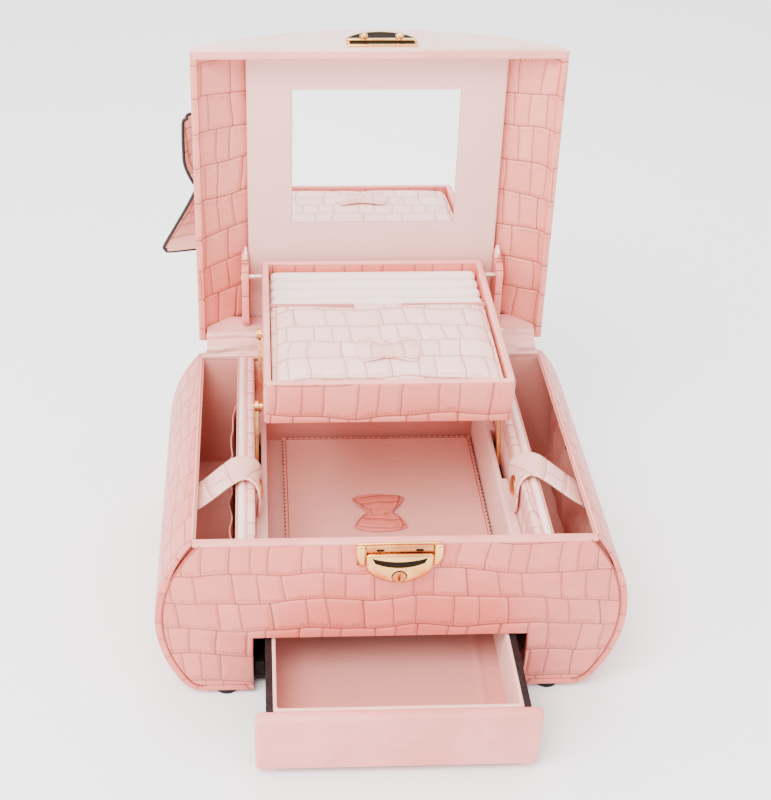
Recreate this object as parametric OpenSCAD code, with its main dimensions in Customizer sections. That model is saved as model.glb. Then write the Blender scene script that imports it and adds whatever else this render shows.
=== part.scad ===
// Jewellery chest: barrel-shaped body with a drawer, a vaulted lid with a mirror,
// and a tray that the lid lifts. x runs to the right, y to the back, z up. The origin is
// on the table, under the middle of the body. The chest is drawn open.

/* [Body] */
// Width of the body across its rim
rim_w = 195; // [185:1:205]
// Depth of the body, front face to rear face
body_d = 166.6; // [160:0.2:174]
// Height of the rim above the table
rim_z = 99.5; // [97:0.5:102]
// Radius of the bulging sides
bulge_r = 75; // [72:0.5:80]
// Height of the widest point of the bulge
bulge_z = 50; // [48:1:52]
// Thickness of the side skins
skin = 3.5; // [3:0.1:4]
// Thickness of the front and rear panels
panel = 4; // [3:0.1:4.5]
// Height of the feet
foot_h = 3; // [2:0.5:4]
// Diameter of a foot
foot_dia = 12; // [8:1:16]

/* [Drawer] */
// Half the width of the opening for the drawer
bay_x = 68.3; // [66:0.1:69]
// Height of the top of the opening
bay_top = 38.6; // [36:0.1:39]
// Gap around the drawer front
bay_gap = 0.5; // [0.3:0.1:1]
// Thickness of the drawer front
front_t = 7; // [5:0.5:9]
// Half the outer width of the drawer box
drawer_x = 62.5; // [58:0.5:63]
// Depth of the drawer box behind its front
drawer_d = 142; // [120:1:146]
// How far the drawer is pulled out
drawer_out = 53.3; // [0:0.1:90]

/* [Lid] */
// Height of the vault above the lid's rim
vault_h = 39; // [36:0.5:42]
// Radius of the vault's crown
crown_r = 158; // [150:1:170]
// Radius of the vault's shoulders
shoulder_r = 10; // [8:0.5:14]
// Angle that the lid stands open
lid_open = 94; // [0:1:94]
// Depth of the mirror board inside the rim
mirror_in = 14; // [13.5:0.1:16]
// Width of the mirror
mirror_w = 90; // [80:1:100]
// Height of the mirror
mirror_h = 76; // [60:1:84]

/* [Tray lift] */
// Length of the lifting arms, pivot to pivot
arm = 42; // [40:0.5:44]
// Backward lean of the arms when the lid is open
arm_lean = 9; // [6:0.5:12]
// Half the width of the tray
tray_x = 61.8; // [60:0.1:62]
// Depth of the tray
tray_d = 124; // [118:0.5:125]
// Height of the tray
tray_h = 23.3; // [20:0.1:24]
// Thickness of the tray's walls
tray_wall = 3.5; // [3:0.1:4]

/* [Inside] */
// Distance from the middle to the partitions' inner face
part_in = 66.5; // [66:0.1:67]
// Distance from the middle to the partitions' outer face
part_out = 75; // [74:0.1:77]
// Half the width of the well under the tray
well_x = 60.3; // [58:0.1:61]
// Height of the ledges beside the well
ledge_z = 78; // [74:0.5:80]
// Width of a strap
strap_w = 20; // [16:0.5:22]
// Thickness of a strap
strap_t = 1.5; // [1.2:0.1:1.8]

/* [Hidden] */
$fn = 48;

pink = "#E7B6AE";
pale = "#F0D9D3";
velvet = "#8F4A42";
gold = "#D9A860";
black = "#201818";

half_w = rim_w / 2;
front_y = -body_d / 2;
rear_y = body_d / 2;
base_z = foot_h;
bulge_x = half_w - sqrt(bulge_r * bulge_r - (rim_z - bulge_z) * (rim_z - bulge_z));
corner_r = 12;
corner_z = base_z + corner_r;
corner_x = bulge_x + sqrt(pow(bulge_r - corner_r, 2) - pow(bulge_z - corner_z, 2));
corner_a = atan2(corner_z - bulge_z, corner_x - bulge_x);
flat_x = 70;

lid_gap = 1;
hinge_y = rear_y + 4;
hinge_z = rim_z + 2;
lid_z = rim_z + lid_gap;
crown_z = vault_h - crown_r;
shoulder_x = half_w - shoulder_r;
shoulder_z = crown_z + sqrt(pow(crown_r - shoulder_r, 2) - pow(shoulder_x, 2));
shoulder_a = atan2(shoulder_z - crown_z, shoulder_x);

pin_open = [arm * sin(arm_lean), arm * cos(arm_lean)];
pin_shut = [arm * sin(arm_lean - lid_open), arm * cos(arm_lean - lid_open)];
tray_y = -24;
tray_z = 126.2;
link_tray = [38.5, 139.5];
link_post = link_tray - pin_open;
link_in = tray_x + 0.8;
link_t = 1.6;
post_in = link_in + link_t + 0.4;
post_t = 1.7;
pin_r = 1.5;
fit = 0.06;
loose = 0.35;

strap_y = -31;
strap_hang = 65.4;
strap_tip = 80;
strap_top = rim_z + 0.4;
fold_x = 66;
fold_z = strap_top + strap_t / 2;
snap_z = 92;
floor_z = bay_top + 3.4;
mat_t = 4;
lock_x = 1.5;
part_low = base_z + 3.2;
inner_y = rear_y - panel;

// ---------- helpers ----------

// points of an arc about [cx, cy]
function arc(cx, cy, r, a0, a1, n = 12) =
    [for (i = [0:n]) let (a = a0 + (a1 - a0) * i / n) [cx + r * cos(a), cy + r * sin(a)]];

function flip(points) = [for (i = [len(points) - 1:-1:0]) points[i]];

function mirrored(points) = [for (p = flip(points)) [-p[0], p[1]]];

// right-hand outline of the body, rim to bottom, moved inwards by t
function body_side(t, top = rim_z) = concat(
    arc(bulge_x, bulge_z, bulge_r - t, asin((top - bulge_z) / (bulge_r - t)), corner_a, 20),
    arc(corner_x, corner_z, corner_r - t, corner_a, -90, 8));

// right-hand outline of the lid, rim to crown, moved inwards by t; z counts from its rim
function lid_side(t) = concat([[half_w - t, 0]],
    arc(shoulder_x, shoulder_z, shoulder_r - t, 0, shoulder_a, 8),
    arc(0, crown_z, crown_r - t, shoulder_a, 90, 14));

// extrude a front view, drawn in x and z, from y0 back to y1
module along_y(y0, y1) {
    translate([0, y1, 0]) rotate([90, 0, 0]) linear_extrude(y1 - y0) children();
}

// extrude a side view, drawn in y and z, from x0 to x1
module along_x(x0, x1) {
    translate([x0, 0, 0]) rotate([90, 0, 90]) linear_extrude(x1 - x0) children();
}

// a box from its low corner to its high corner
module span(low, high) {
    translate(low) cube(high - low);
}

// a round bar along x
module rod_x(x0, x1, y, z, r) {
    translate([x0, y, z]) rotate([0, 90, 0]) cylinder(r = r, h = x1 - x0);
}

// a round bar along y
module rod_y(y0, y1, x, z, r) {
    translate([x, y0, z]) rotate([-90, 0, 0]) cylinder(r = r, h = y1 - y0);
}

// the same part on the left and on the right
module both_sides() {
    children();
    mirror([1, 0, 0]) children();
}

// parts drawn on the shut lid, carried to where it stands open
module on_lid() {
    translate([0, hinge_y, hinge_z]) rotate([-lid_open, 0, 0])
        translate([0, -hinge_y, -hinge_z]) children();
}

// ---------- body ----------

module body_skin() {
    color(pink) along_y(front_y, rear_y)
        polygon(concat(body_side(0), [[flat_x, base_z], [flat_x, base_z + skin]],
            flip(body_side(skin))));
}

module left_side() { mirror([1, 0, 0]) body_skin(); }

module right_side() { body_skin(); }

module base_board() {
    color(black) span([-flat_x, front_y + panel + 3.6, base_z], [flat_x, inner_y, base_z + 3]);
}

// outline that fits inside the side skins
module panel_outline() {
    polygon(concat(body_side(skin), mirrored(body_side(skin))));
}

module front_panel() {
    color(pink) difference() {
        along_y(front_y, front_y + panel) panel_outline();
        span([-bay_x, front_y - 1, 0], [bay_x, front_y + panel + 1, bay_top]);
    }
}

module rear_panel() {
    color(pink) along_y(rear_y - panel, rear_y) panel_outline();
}

module feet() {
    color(black) {
        both_sides() for (y = [front_y + 6.5, rear_y - 12])
            translate([82, y, 0]) cylinder(d = foot_dia, h = foot_h);
        cylinder(d = foot_dia, h = foot_h);
    }
}

// ---------- inside the body ----------

module partition_board() {
    color(pale) difference() {
        union() {
            span([part_out - 4.5, -inner_y, part_low + 0.3], [part_out, inner_y, rim_z]);
            span([part_in, -inner_y, floor_z], [part_out - 4.5, inner_y, rim_z]);
        }
        rod_x(part_in - 1, part_in + 3, link_post[0], link_post[1], pin_r);
    }
}

module left_partition() { mirror([1, 0, 0]) partition_board(); }

module right_partition() { partition_board(); }

module ledge_board() {
    color(pale) difference() {
        span([well_x, -inner_y, floor_z], [part_in, inner_y, ledge_z]);
        span([link_in + 0.5, -8, ledge_z - 12], [part_in + 1, 36, ledge_z + 1]);
    }
}

module left_ledge() { mirror([1, 0, 0]) ledge_board(); }

module right_ledge() { ledge_board(); }

module bay_roof() {
    color(black) span([-part_out + 4.5, -inner_y, bay_top + 0.4],
        [part_out - 4.5, inner_y, floor_z]);
}

module drawer_rails() {
    color(black) both_sides()
        span([drawer_x + 0.5, -inner_y + 4, base_z + 3], [drawer_x + 5, inner_y, 15]);
}

module compartment_liner() {
    wall = skin + 0.2;
    low = 24;
    span([part_out, -inner_y, low], [part_out + 1, inner_y, rim_z - 1]);
    along_y(-inner_y, inner_y) intersection() {
        polygon(concat(body_side(wall, rim_z - 1), flip(body_side(wall + 1.2, rim_z - 1))));
        translate([part_out, low]) square([60, rim_z]);
    }
    along_y(-inner_y, inner_y) intersection() {
        polygon(concat(body_side(wall), [[0, base_z], [0, rim_z]]));
        translate([part_out, low]) square([60, 2]);
    }
}

module left_liner() { color(velvet) mirror([1, 0, 0]) compartment_liner(); }

module right_liner() { color(velvet) compartment_liner(); }

module left_pocket() {
    color(velvet) span([-part_out - 4, -inner_y + 6, 40], [-part_out - 1.1, 60, 88]);
}

module right_pocket() {
    near = skin + 1.7;
    color(velvet) along_y(-inner_y + 4, inner_y - 4) intersection() {
        polygon(concat(body_side(near), flip(body_side(near + 4))));
        translate([part_out, 34]) square([60, 48]);
    }
}

module floor_mat() {
    color(pale) span([-51, -inner_y + 1.5, floor_z], [59.5, 74, floor_z + mat_t]);
}

// a flat bow: two flared lobes, front and back, that meet in a pinched middle
module bow_tab(w, d, t) {
    waist = w * 0.3;
    linear_extrude(t) polygon([[-w / 2, -d / 2], [w / 2, -d / 2], [waist, 0], [w / 2, d / 2],
        [-w / 2, d / 2], [-waist, 0]]);
}

module mat_bow() {
    color(pink) translate([0.7, 2.3, floor_z + mat_t]) bow_tab(29, 30, 2.5);
}

module link_posts() {
    foot = [link_post[0] - 15.5, ledge_z - 11.5];
    color(gold) both_sides() difference() {
        along_x(post_in, post_in + post_t) {
            polygon([link_post + [-2.4, 0.8], link_post + [2.2, -1.4], foot + [3.2, 0],
                foot - [2.2, 0]]);
            translate(link_post) circle(r = 3.4);
        }
        rod_x(post_in - 1, post_in + post_t + 1, link_post[0], link_post[1], pin_r);
    }
}

module post_pins() {
    head = link_in - 0.7;
    color(gold) both_sides() {
        rod_x(link_in - 0.2, part_in + 2.5, link_post[0], link_post[1], pin_r);
        rod_x(head, link_in - 0.2, link_post[0], link_post[1], 2.4);
    }
}

module snap_sockets() {
    color(gold) both_sides()
        rod_x(strap_hang + 0.1, part_in, strap_y, snap_z, 2.5);
}

// the fixed part of a strap, from the side wall to the top of the partition
module strap_bridges() {
    wall_z = 88;
    wall_x = bulge_x + sqrt(pow(bulge_r - skin - 1.6, 2) - pow(wall_z - bulge_z, 2));
    bend = part_out + 1;
    color(pink) both_sides() along_y(strap_y - strap_w / 2, strap_y + strap_w / 2)
        polygon([[wall_x, wall_z], [bend, strap_top], [fold_x + 1.1, strap_top],
            [fold_x + 1.1, strap_top + strap_t], [bend, strap_top + strap_t],
            [wall_x - 0.9, wall_z + 1.7]]);
}

// the free end of a strap, which hangs from its fold to the snap
module strap() {
    color(pink) along_y(strap_y - strap_w / 2, strap_y + strap_w / 2) {
        polygon([[fold_x, strap_top + strap_t], [strap_hang - strap_t, strap_top + strap_t],
            [strap_hang - strap_t, strap_tip], [strap_hang, strap_tip],
            [strap_hang, strap_top], [fold_x, strap_top]]);
        translate([fold_x, fold_z]) circle(d = strap_t);
    }
}

module snap_cap() {
    color(gold) rod_x(strap_hang - strap_t - 0.9, strap_hang - strap_t, strap_y, snap_z, 5.5);
}

module left_strap() { mirror([1, 0, 0]) strap(); }

module left_snap() { mirror([1, 0, 0]) snap_cap(); }

module right_strap() { strap(); }

module right_snap() { snap_cap(); }

// ---------- lock ----------

lock_top = rim_z - 0.3;
lock_w = 40.6;
case_w = 31;
case_h = 21.5;
case_t = 5;
key_z = lock_top - 16.5;

module lock_plate() {
    lug = 4.4;
    plate_y = front_y - 1.2;
    color(gold) {
        span([lock_x - lock_w / 2, plate_y, lock_top - 14],
            [lock_x + lock_w / 2, front_y, lock_top]);
        for (s = [-1, 1]) translate([lock_x + s * (lock_w - lug) / 2, plate_y, lock_top - 13])
            rotate([90, 0, 0]) linear_extrude(2.6) {
                translate([-lug / 2, 0]) square([lug, 13]);
                circle(d = lug);
            }
    }
}

module lock_case() {
    y0 = front_y - case_t;
    y1 = front_y - 1.2;
    cheek_z = lock_top - 8;
    bow_r = (pow(case_w / 2, 2) + pow(case_h - 8, 2)) / (2 * (case_h - 8));
    slot_r = 28.6;
    slot_z = lock_top - 10;
    color(gold) difference() {
        union() {
            span([lock_x - case_w / 2, y0, cheek_z], [lock_x + case_w / 2, y1, lock_top]);
            intersection() {
                rod_y(y0, y1, lock_x, cheek_z + bow_r - (case_h - 8), bow_r);
                span([lock_x - case_w / 2, y0, lock_top - case_h],
                    [lock_x + case_w / 2, y1, cheek_z]);
            }
        }
        intersection() {
            difference() {
                rod_y(y0 - 1, y1 + 1, lock_x, slot_z + slot_r, slot_r + 1.2);
                rod_y(y0 - 1, y1 + 1, lock_x, slot_z + slot_r, slot_r - 1.2);
            }
            span([lock_x - 14, y0 - 1, slot_z - 4], [lock_x + 14, y0 + 2.6, slot_z + 5]);
        }
        rod_y(y0 - 1, y1 + 1, lock_x, key_z, 3.3 + fit);
    }
}

module lock_cylinder() {
    color(gold) difference() {
        rod_y(front_y - case_t - 0.8, front_y - 1.4, lock_x, key_z, 3.3);
        span([lock_x - 0.6, front_y - case_t - 2, key_z - 2.3],
            [lock_x + 0.6, front_y - case_t + 1.2, key_z + 2.3]);
    }
}

// ---------- hinges ----------

barrel_r = 2.6;
hinge_xs = [-60, 60];
hinge_w = 30;
knuckle = hinge_w / 3;

module body_hinge_leaves() {
    color(gold) for (x = hinge_xs) difference() {
        union() {
            span([x - hinge_w / 2, rear_y, rim_z - 12], [x + hinge_w / 2, rear_y + 1, rim_z]);
            for (s = [-1, 1]) translate([x + s * knuckle, 0, 0]) {
                rod_x(-knuckle / 2 + 0.1, knuckle / 2 - 0.1, hinge_y, hinge_z, barrel_r);
                span([-knuckle / 2 + 0.1, rear_y, rim_z - 3],
                    [knuckle / 2 - 0.1, rear_y + 3, rim_z]);
            }
        }
        rod_x(x - hinge_w, x + hinge_w, hinge_y, hinge_z, pin_r);
    }
}

module hinge_pins() {
    color(gold) for (x = hinge_xs) rod_x(x - hinge_w / 2, x + hinge_w / 2, hinge_y, hinge_z, pin_r);
}

module lid_hinge_leaves() {
    color(gold) on_lid() for (x = hinge_xs) difference() {
        union() {
            span([x - hinge_w / 2, rear_y, lid_z + 4.5], [x + hinge_w / 2, rear_y + 1, lid_z + 15]);
            rod_x(x - knuckle / 2 + 0.1, x + knuckle / 2 - 0.1, hinge_y, hinge_z, barrel_r);
            span([x - knuckle / 2 + 0.1, rear_y, lid_z + 2.4],
                [x + knuckle / 2 - 0.1, rear_y + 3, lid_z + 6]);
        }
        rod_x(x - hinge_w, x + hinge_w, hinge_y, hinge_z, pin_r + fit);
    }
}

// a strip on the rear panel that stands up into the gap under the lid
module lining_strip(x0, x1) {
    y0 = inner_y - 1.8;
    y1 = inner_y - 0.6;
    along_x(x0, x1) polygon([[y0, rim_z - 14], [inner_y, rim_z - 14], [inner_y, rim_z - 2],
        [y1, rim_z], [y1, rim_z + 4.5], [y0, rim_z + 4.5]]);
}

// satin strips that hide the gap under the lid
module hinge_lining() {
    color(pale) {
        lining_strip(-part_in + 0.3, part_in - 0.3);
        both_sides() lining_strip(part_out + 1.4, 88);
    }
}

// ---------- drawer ----------

module drawn_out() {
    translate([0, -drawer_out, 0]) children();
}

module drawer_front() {
    x = bay_x - bay_gap;
    z0 = base_z + 1.2;
    z1 = bay_top - bay_gap;
    r = 2.5;
    color(pale) drawn_out() along_y(front_y, front_y + front_t) {
        translate([-x + r, z0]) square([2 * (x - r), z1 - z0]);
        translate([-x, z0 + r]) square([2 * x, z1 - z0 - 2 * r]);
        for (u = [-x + r, x - r], v = [z0 + r, z1 - r]) translate([u, v]) circle(r = r);
    }
}

drawer_y0 = front_y + front_t;
drawer_y1 = drawer_y0 + drawer_d;
drawer_z0 = base_z + 3.6;
drawer_z1 = bay_top - 1.5;
drawer_wall = 3.5;

module drawer_box() {
    color(black) drawn_out() difference() {
        span([-drawer_x, drawer_y0, drawer_z0], [drawer_x, drawer_y1, drawer_z1]);
        span([-drawer_x + drawer_wall, drawer_y0 - 1, drawer_z0 - 1],
            [drawer_x - drawer_wall, drawer_y1 - drawer_wall, drawer_z1 + 1]);
    }
}

module drawer_bottom() {
    color(black) drawn_out() span([-drawer_x + drawer_wall, drawer_y0, drawer_z0],
        [drawer_x - drawer_wall, drawer_y1 - drawer_wall, drawer_z0 + 1.5]);
}

module drawer_pad() {
    inset = drawer_wall + 0.3;
    color(pale) drawn_out() span([-drawer_x + inset, drawer_y0 + 0.3, drawer_z0 + 1.5],
        [drawer_x - inset, drawer_y1 - inset, drawer_z0 + 3.5]);
}

// ---------- lid ----------

module lid_vault() {
    color(pink) on_lid() translate([0, 0, lid_z]) along_y(front_y, rear_y) polygon(concat(
        lid_side(0), mirrored(lid_side(0)), flip(mirrored(lid_side(skin))), flip(lid_side(skin))));
}

module lid_end(y0) {
    on_lid() translate([0, 0, lid_z]) along_y(y0, y0 + panel)
        polygon(concat(lid_side(skin), mirrored(lid_side(skin))));
}

module lid_front() { color(pale) lid_end(front_y); }

module lid_rear() { color(pink) lid_end(rear_y - panel); }

board_z = lid_z + mirror_in;
board_x = 69.1;
mirror_y = hinge_y - 108;

module mirror_window(grow) {
    span([-mirror_w / 2 - grow, mirror_y - mirror_h / 2 - grow, board_z - 1],
        [mirror_w / 2 + grow, mirror_y + mirror_h / 2 + grow, board_z + 1.5]);
}

module mirror_board() {
    color(pale) on_lid() difference() {
        span([-board_x, -inner_y, board_z], [board_x, inner_y - 3, board_z + 4]);
        mirror_window(0);
    }
}

module mirror_glass() {
    color("#DDE6E8") on_lid() span([-mirror_w / 2, mirror_y - mirror_h / 2, board_z + 0.5],
        [mirror_w / 2, mirror_y + mirror_h / 2, board_z + 1.5]);
}

// plates on the mirror board that carry the tray's rear pivots
module cheeks() {
    y = hinge_y + pin_shut[0];
    z = hinge_z + pin_shut[1];
    low = rim_z + 1.6;
    color(pink) on_lid() both_sides() difference() {
        along_x(board_x, board_x + 3) {
            polygon(concat([[inner_y - 4, low + 3], [inner_y - 8, low]],
                [[y, low]], flip(arc(y - 1, low + 6, 6, 150, 270, 8)),
                [[y - 11, board_z + 1], [y - 11, board_z + 3], [inner_y - 4, board_z + 3]]));
        }
        rod_x(board_x - 1, board_x + 4, y, z, pin_r);
    }
}

module lift_pins() {
    color("silver") on_lid() both_sides()
        rod_x(tray_x - tray_wall + 0.6, board_x + 3.4, hinge_y + pin_shut[0],
            hinge_z + pin_shut[1], pin_r);
}

module lid_catch() {
    color(gold) on_lid() {
        span([lock_x - 19, front_y - 1, lid_z + 5], [lock_x + 19, front_y, lid_z + 32]);
        difference() {
            span([lock_x - 19, front_y - 4, lid_z + 3.4], [lock_x + 19, front_y - 1, lid_z + 9]);
            span([lock_x - 16, front_y - 3, lid_z + 2], [lock_x + 16, front_y - 1, lid_z + 10]);
        }
    }
}

module catch_studs() {
    color(gold) on_lid() for (s = [-1, 1]) hull() {
        rod_y(front_y - 2.2, front_y - 1, lock_x + s * 9.3, lid_z + 14, 2.4, $fn = 24);
        rod_y(front_y - 3.4, front_y - 2.2, lock_x + s * 9.3, lid_z + 14, 1.3, $fn = 24);
    }
}

// ---------- bow on the lid ----------

bow_x = 90;
bow_y = -5;
bow_turn = 12;

// the lid's left shoulder, with x along the bow and z away from the lid
module on_shoulder() {
    z = crown_z + sqrt(crown_r * crown_r - bow_x * bow_x);
    on_lid() translate([-bow_x, bow_y, lid_z + z]) rotate([0, -asin(bow_x / crown_r), 0])
        rotate([0, 0, 90 + bow_turn]) children();
}

module bow_wing() {
    hull() {
        translate([4, -6, 1]) cube([2, 12, 5]);
        translate([36, -17, 3]) cube([2, 34, 4]);
    }
}

module lid_bow() {
    color(pink) on_shoulder() {
        bow_wing();
        mirror([1, 0, 0]) bow_wing();
    }
}

module bow_knot() {
    color(pink) on_shoulder() translate([-3.9, -7, 0.6]) cube([7.8, 14, 8]);
}

// ---------- tray ----------

tray_top = tray_z + tray_h;
tray_floor_t = 2;
divider_y = 58;

module tray_box() {
    y1 = tray_y + tray_d;
    inner_x = tray_x - tray_wall;
    pin = [hinge_y + pin_open[0], hinge_z + pin_open[1]];
    color(pink) difference() {
        span([-tray_x, tray_y, tray_z], [tray_x, y1, tray_top]);
        span([-inner_x, tray_y + tray_wall, tray_z + tray_floor_t],
            [inner_x, divider_y, tray_top + 1]);
        span([-inner_x, divider_y + 2, tray_z + tray_floor_t],
            [inner_x, y1 - tray_wall, tray_top + 1]);
        both_sides() rod_x(tray_x - tray_wall - 1, tray_x + 1, pin[0], pin[1], pin_r + fit);
        both_sides() rod_x(tray_x - 2.4, tray_x + 1, link_tray[0], link_tray[1], pin_r);
    }
}

// four padded rolls that hold rings between them
module ring_rolls() {
    y0 = divider_y + 2.2;
    y1 = tray_y + tray_d - tray_wall - 0.2;
    x = tray_x - tray_wall - 0.3;
    rolls = 4;
    pitch = (y1 - y0) / rolls;
    roll_z = tray_top - 12.5;
    color(pale) {
        span([-x, y0, tray_z + tray_floor_t], [x, y1, roll_z]);
        for (i = [0:rolls - 1])
            rod_x(-x, x, y0 + (i + 0.5) * pitch, roll_z, pitch / 2 - 0.05);
    }
}

module tray_floor() {
    color(velvet) span([-tray_x + tray_wall + 0.4, tray_y + tray_wall + 0.4,
        tray_z + tray_floor_t], [tray_x - tray_wall - 0.4, divider_y - 0.4, tray_z + 3.5]);
}

module link_rivets() {
    color(gold) both_sides() {
        rod_x(tray_x - 2.4, link_in + link_t + 0.1, link_tray[0], link_tray[1], pin_r - 0.1);
        rod_x(link_in + link_t + 0.1, link_in + link_t + 0.9, link_tray[0], link_tray[1], 2.3);
    }
}

cover_t = 5;
cover_top = tray_top - 1.3;
cover_pin_y = divider_y - 2.2;
cover_pin_z = cover_top - 2;

module tray_cover() {
    x = tray_x - tray_wall - 0.6;
    color(pink) difference() {
        span([-x, tray_y + tray_wall + 0.6, cover_top - cover_t],
            [x, cover_pin_y - 2.2, cover_top]);
        span([-12, cover_pin_y - 4, cover_top - cover_t - 1], [12, cover_pin_y, cover_top + 1]);
    }
}

module cover_bow() {
    color(pink) translate([0.7, 11, cover_top]) bow_tab(33, 30, 2);
}

// the cloth hinge along the cover's rear edge
module cover_hinge() {
    x = tray_x - tray_wall - 0.6;
    color(pale) both_sides() {
        rod_x(13, x - 0.4, cover_pin_y, cover_pin_z, 1.2);
        span([13, cover_pin_y - 2.2, cover_pin_z - 0.8], [x - 0.4, cover_pin_y, cover_pin_z + 0.8]);
    }
}

// ---------- links ----------

module link() {
    r = 3.1;
    side = [cos(arm_lean), -sin(arm_lean)] * 1.7;
    color(gold) difference() {
        along_x(link_in, link_in + link_t) {
            polygon([link_post - side, link_post + side, link_tray + side, link_tray - side]);
            translate(link_post) circle(r = r);
            translate(link_tray) circle(r = r);
        }
        rod_x(link_in - 1, link_in + link_t + 1, link_post[0], link_post[1], pin_r + fit);
        rod_x(link_in - 1, link_in + link_t + 1, link_tray[0], link_tray[1], pin_r + loose);
    }
}

module left_link() { mirror([1, 0, 0]) link(); }

module right_link() { link(); }

left_side();
right_side();
base_board();
front_panel();
rear_panel();
feet();
left_partition();
right_partition();
left_ledge();
right_ledge();
bay_roof();
drawer_rails();
left_liner();
right_liner();
left_pocket();
right_pocket();
floor_mat();
mat_bow();
link_posts();
post_pins();
snap_sockets();
strap_bridges();
left_strap();
left_snap();
right_strap();
right_snap();
lock_plate();
lock_case();
lock_cylinder();
body_hinge_leaves();
hinge_pins();
hinge_lining();
drawer_front();
drawer_box();
drawer_bottom();
drawer_pad();
lid_vault();
lid_front();
lid_rear();
lid_hinge_leaves();
mirror_board();
mirror_glass();
cheeks();
lift_pins();
lid_catch();
catch_studs();
lid_bow();
bow_knot();
tray_box();
ring_rolls();
tray_floor();
link_rivets();
tray_cover();
cover_bow();
cover_hinge();
left_link();
right_link();
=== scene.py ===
import math

import bmesh
import bpy
import numpy as np
from mathutils import Matrix, Vector, noise


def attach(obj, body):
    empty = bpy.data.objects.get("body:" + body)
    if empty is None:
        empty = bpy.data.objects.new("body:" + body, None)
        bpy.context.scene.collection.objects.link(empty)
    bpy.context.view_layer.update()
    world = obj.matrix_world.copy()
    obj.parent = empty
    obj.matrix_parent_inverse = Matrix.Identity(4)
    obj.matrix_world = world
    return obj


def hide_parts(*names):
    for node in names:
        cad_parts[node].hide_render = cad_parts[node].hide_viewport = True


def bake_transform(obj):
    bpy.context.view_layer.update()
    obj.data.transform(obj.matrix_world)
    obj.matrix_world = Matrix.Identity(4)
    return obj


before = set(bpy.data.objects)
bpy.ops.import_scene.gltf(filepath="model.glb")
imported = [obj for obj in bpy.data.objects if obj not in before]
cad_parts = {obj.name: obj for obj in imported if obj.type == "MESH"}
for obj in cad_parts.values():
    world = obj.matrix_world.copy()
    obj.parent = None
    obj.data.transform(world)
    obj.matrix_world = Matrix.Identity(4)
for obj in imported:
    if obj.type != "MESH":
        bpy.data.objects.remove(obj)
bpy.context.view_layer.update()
scene = bpy.context.scene

MM = 0.001

# The chest's sizes, the same as the frame's.
RIM_W, BODY_D, RIM_Z = 195.0, 166.6, 99.5
BULGE_R, BULGE_Z, SKIN, PANEL = 75.0, 50.0, 3.5, 4.0
CORNER_R, BASE_Z = 12.0, 3.0
FRONT, REAR = -BODY_D / 2, BODY_D / 2
HALF_W = RIM_W / 2
BULGE_X = HALF_W - math.sqrt(BULGE_R**2 - (RIM_Z - BULGE_Z) ** 2)
CORNER_Z = BASE_Z + CORNER_R
CORNER_X = BULGE_X + math.sqrt((BULGE_R - CORNER_R) ** 2 - (BULGE_Z - CORNER_Z) ** 2)
CORNER_A = math.atan2(CORNER_Z - BULGE_Z, CORNER_X - BULGE_X)
RIM_A = math.asin((RIM_Z - BULGE_Z) / BULGE_R)
HINGE_Y, HINGE_Z = REAR + 4, RIM_Z + 2
LID_Z, LID_OPEN = RIM_Z + 1, 94.0
VAULT_H, CROWN_R, SHOULDER_R = 39.0, 158.0, 10.0
CROWN_Z = VAULT_H - CROWN_R
SHOULDER_X = HALF_W - SHOULDER_R
SHOULDER_Z = CROWN_Z + math.sqrt((CROWN_R - SHOULDER_R) ** 2 - SHOULDER_X**2)
SHOULDER_A = math.atan2(SHOULDER_Z - CROWN_Z, SHOULDER_X)
BAY_X, BAY_TOP, DRAWER_OUT = 68.3, 38.6, 53.3
PART_IN, PART_OUT, WELL_X, LEDGE_Z, FLOOR_Z = 66.5, 75.0, 60.3, 78.0, 42.0
TRAY_X, TRAY_Y, TRAY_D, TRAY_Z, TRAY_H = 61.8, -24.0, 124.0, 126.2, 23.3
TRAY_TOP, DIVIDER_Y = TRAY_Z + TRAY_H, 58.0
BOARD_X, BOARD_Z = 69.1, LID_Z + 14
LOCK_X, LOCK_TOP = 1.5, RIM_Z - 0.3
INSIDE_Y = 79.2  # how far a board goes from the middle towards the front and rear panels

# The lid's pieces are drawn closed, and this opens them.
OPEN = (
    Matrix.Translation((0, HINGE_Y * MM, HINGE_Z * MM))
    @ Matrix.Rotation(math.radians(-LID_OPEN), 4, "X")
    @ Matrix.Translation((0, -HINGE_Y * MM, -HINGE_Z * MM))
)


# ---------- outlines ----------


def arc(cx, cy, r, a0, a1, n=12):
    """Points of an arc, with its angles in radians."""
    angles = [a0 + (a1 - a0) * i / n for i in range(n + 1)]
    return [(cx + r * math.cos(a), cy + r * math.sin(a)) for a in angles]


def flipped(points):
    """The outline mirrored to the other side, in reverse order."""
    return [(-x, z) for x, z in reversed(points)]


def body_side(t, top=RIM_Z, n=40):
    """Right-hand outline of the body from its rim to its bottom, t inside the skin."""
    a0 = math.asin((top - BULGE_Z) / (BULGE_R - t))
    return arc(BULGE_X, BULGE_Z, BULGE_R - t, a0, CORNER_A, n) + arc(
        CORNER_X, CORNER_Z, CORNER_R - t, CORNER_A, -math.pi / 2, 12
    )


def lid_side(t, n=32):
    """Right-hand outline of the lid from its rim to its crown, t inside the skin."""
    return (
        [(HALF_W - t, LID_Z)]
        + arc(SHOULDER_X, LID_Z + SHOULDER_Z, SHOULDER_R - t, 0, SHOULDER_A, 10)
        + arc(0, LID_Z + CROWN_Z, CROWN_R - t, SHOULDER_A, math.pi / 2, n)
    )


def rounded_rect(x0, y0, x1, y1, r, n=6):
    """A rectangle with round corners, counterclockwise from its right-hand side."""
    q = math.pi / 2
    centres = ((x1 - r, y1 - r), (x0 + r, y1 - r), (x0 + r, y0 + r), (x1 - r, y0 + r))
    return [p for k, (x, y) in enumerate(centres) for p in arc(x, y, r, k * q, (k + 1) * q, n)]


# ---------- meshes ----------


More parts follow.
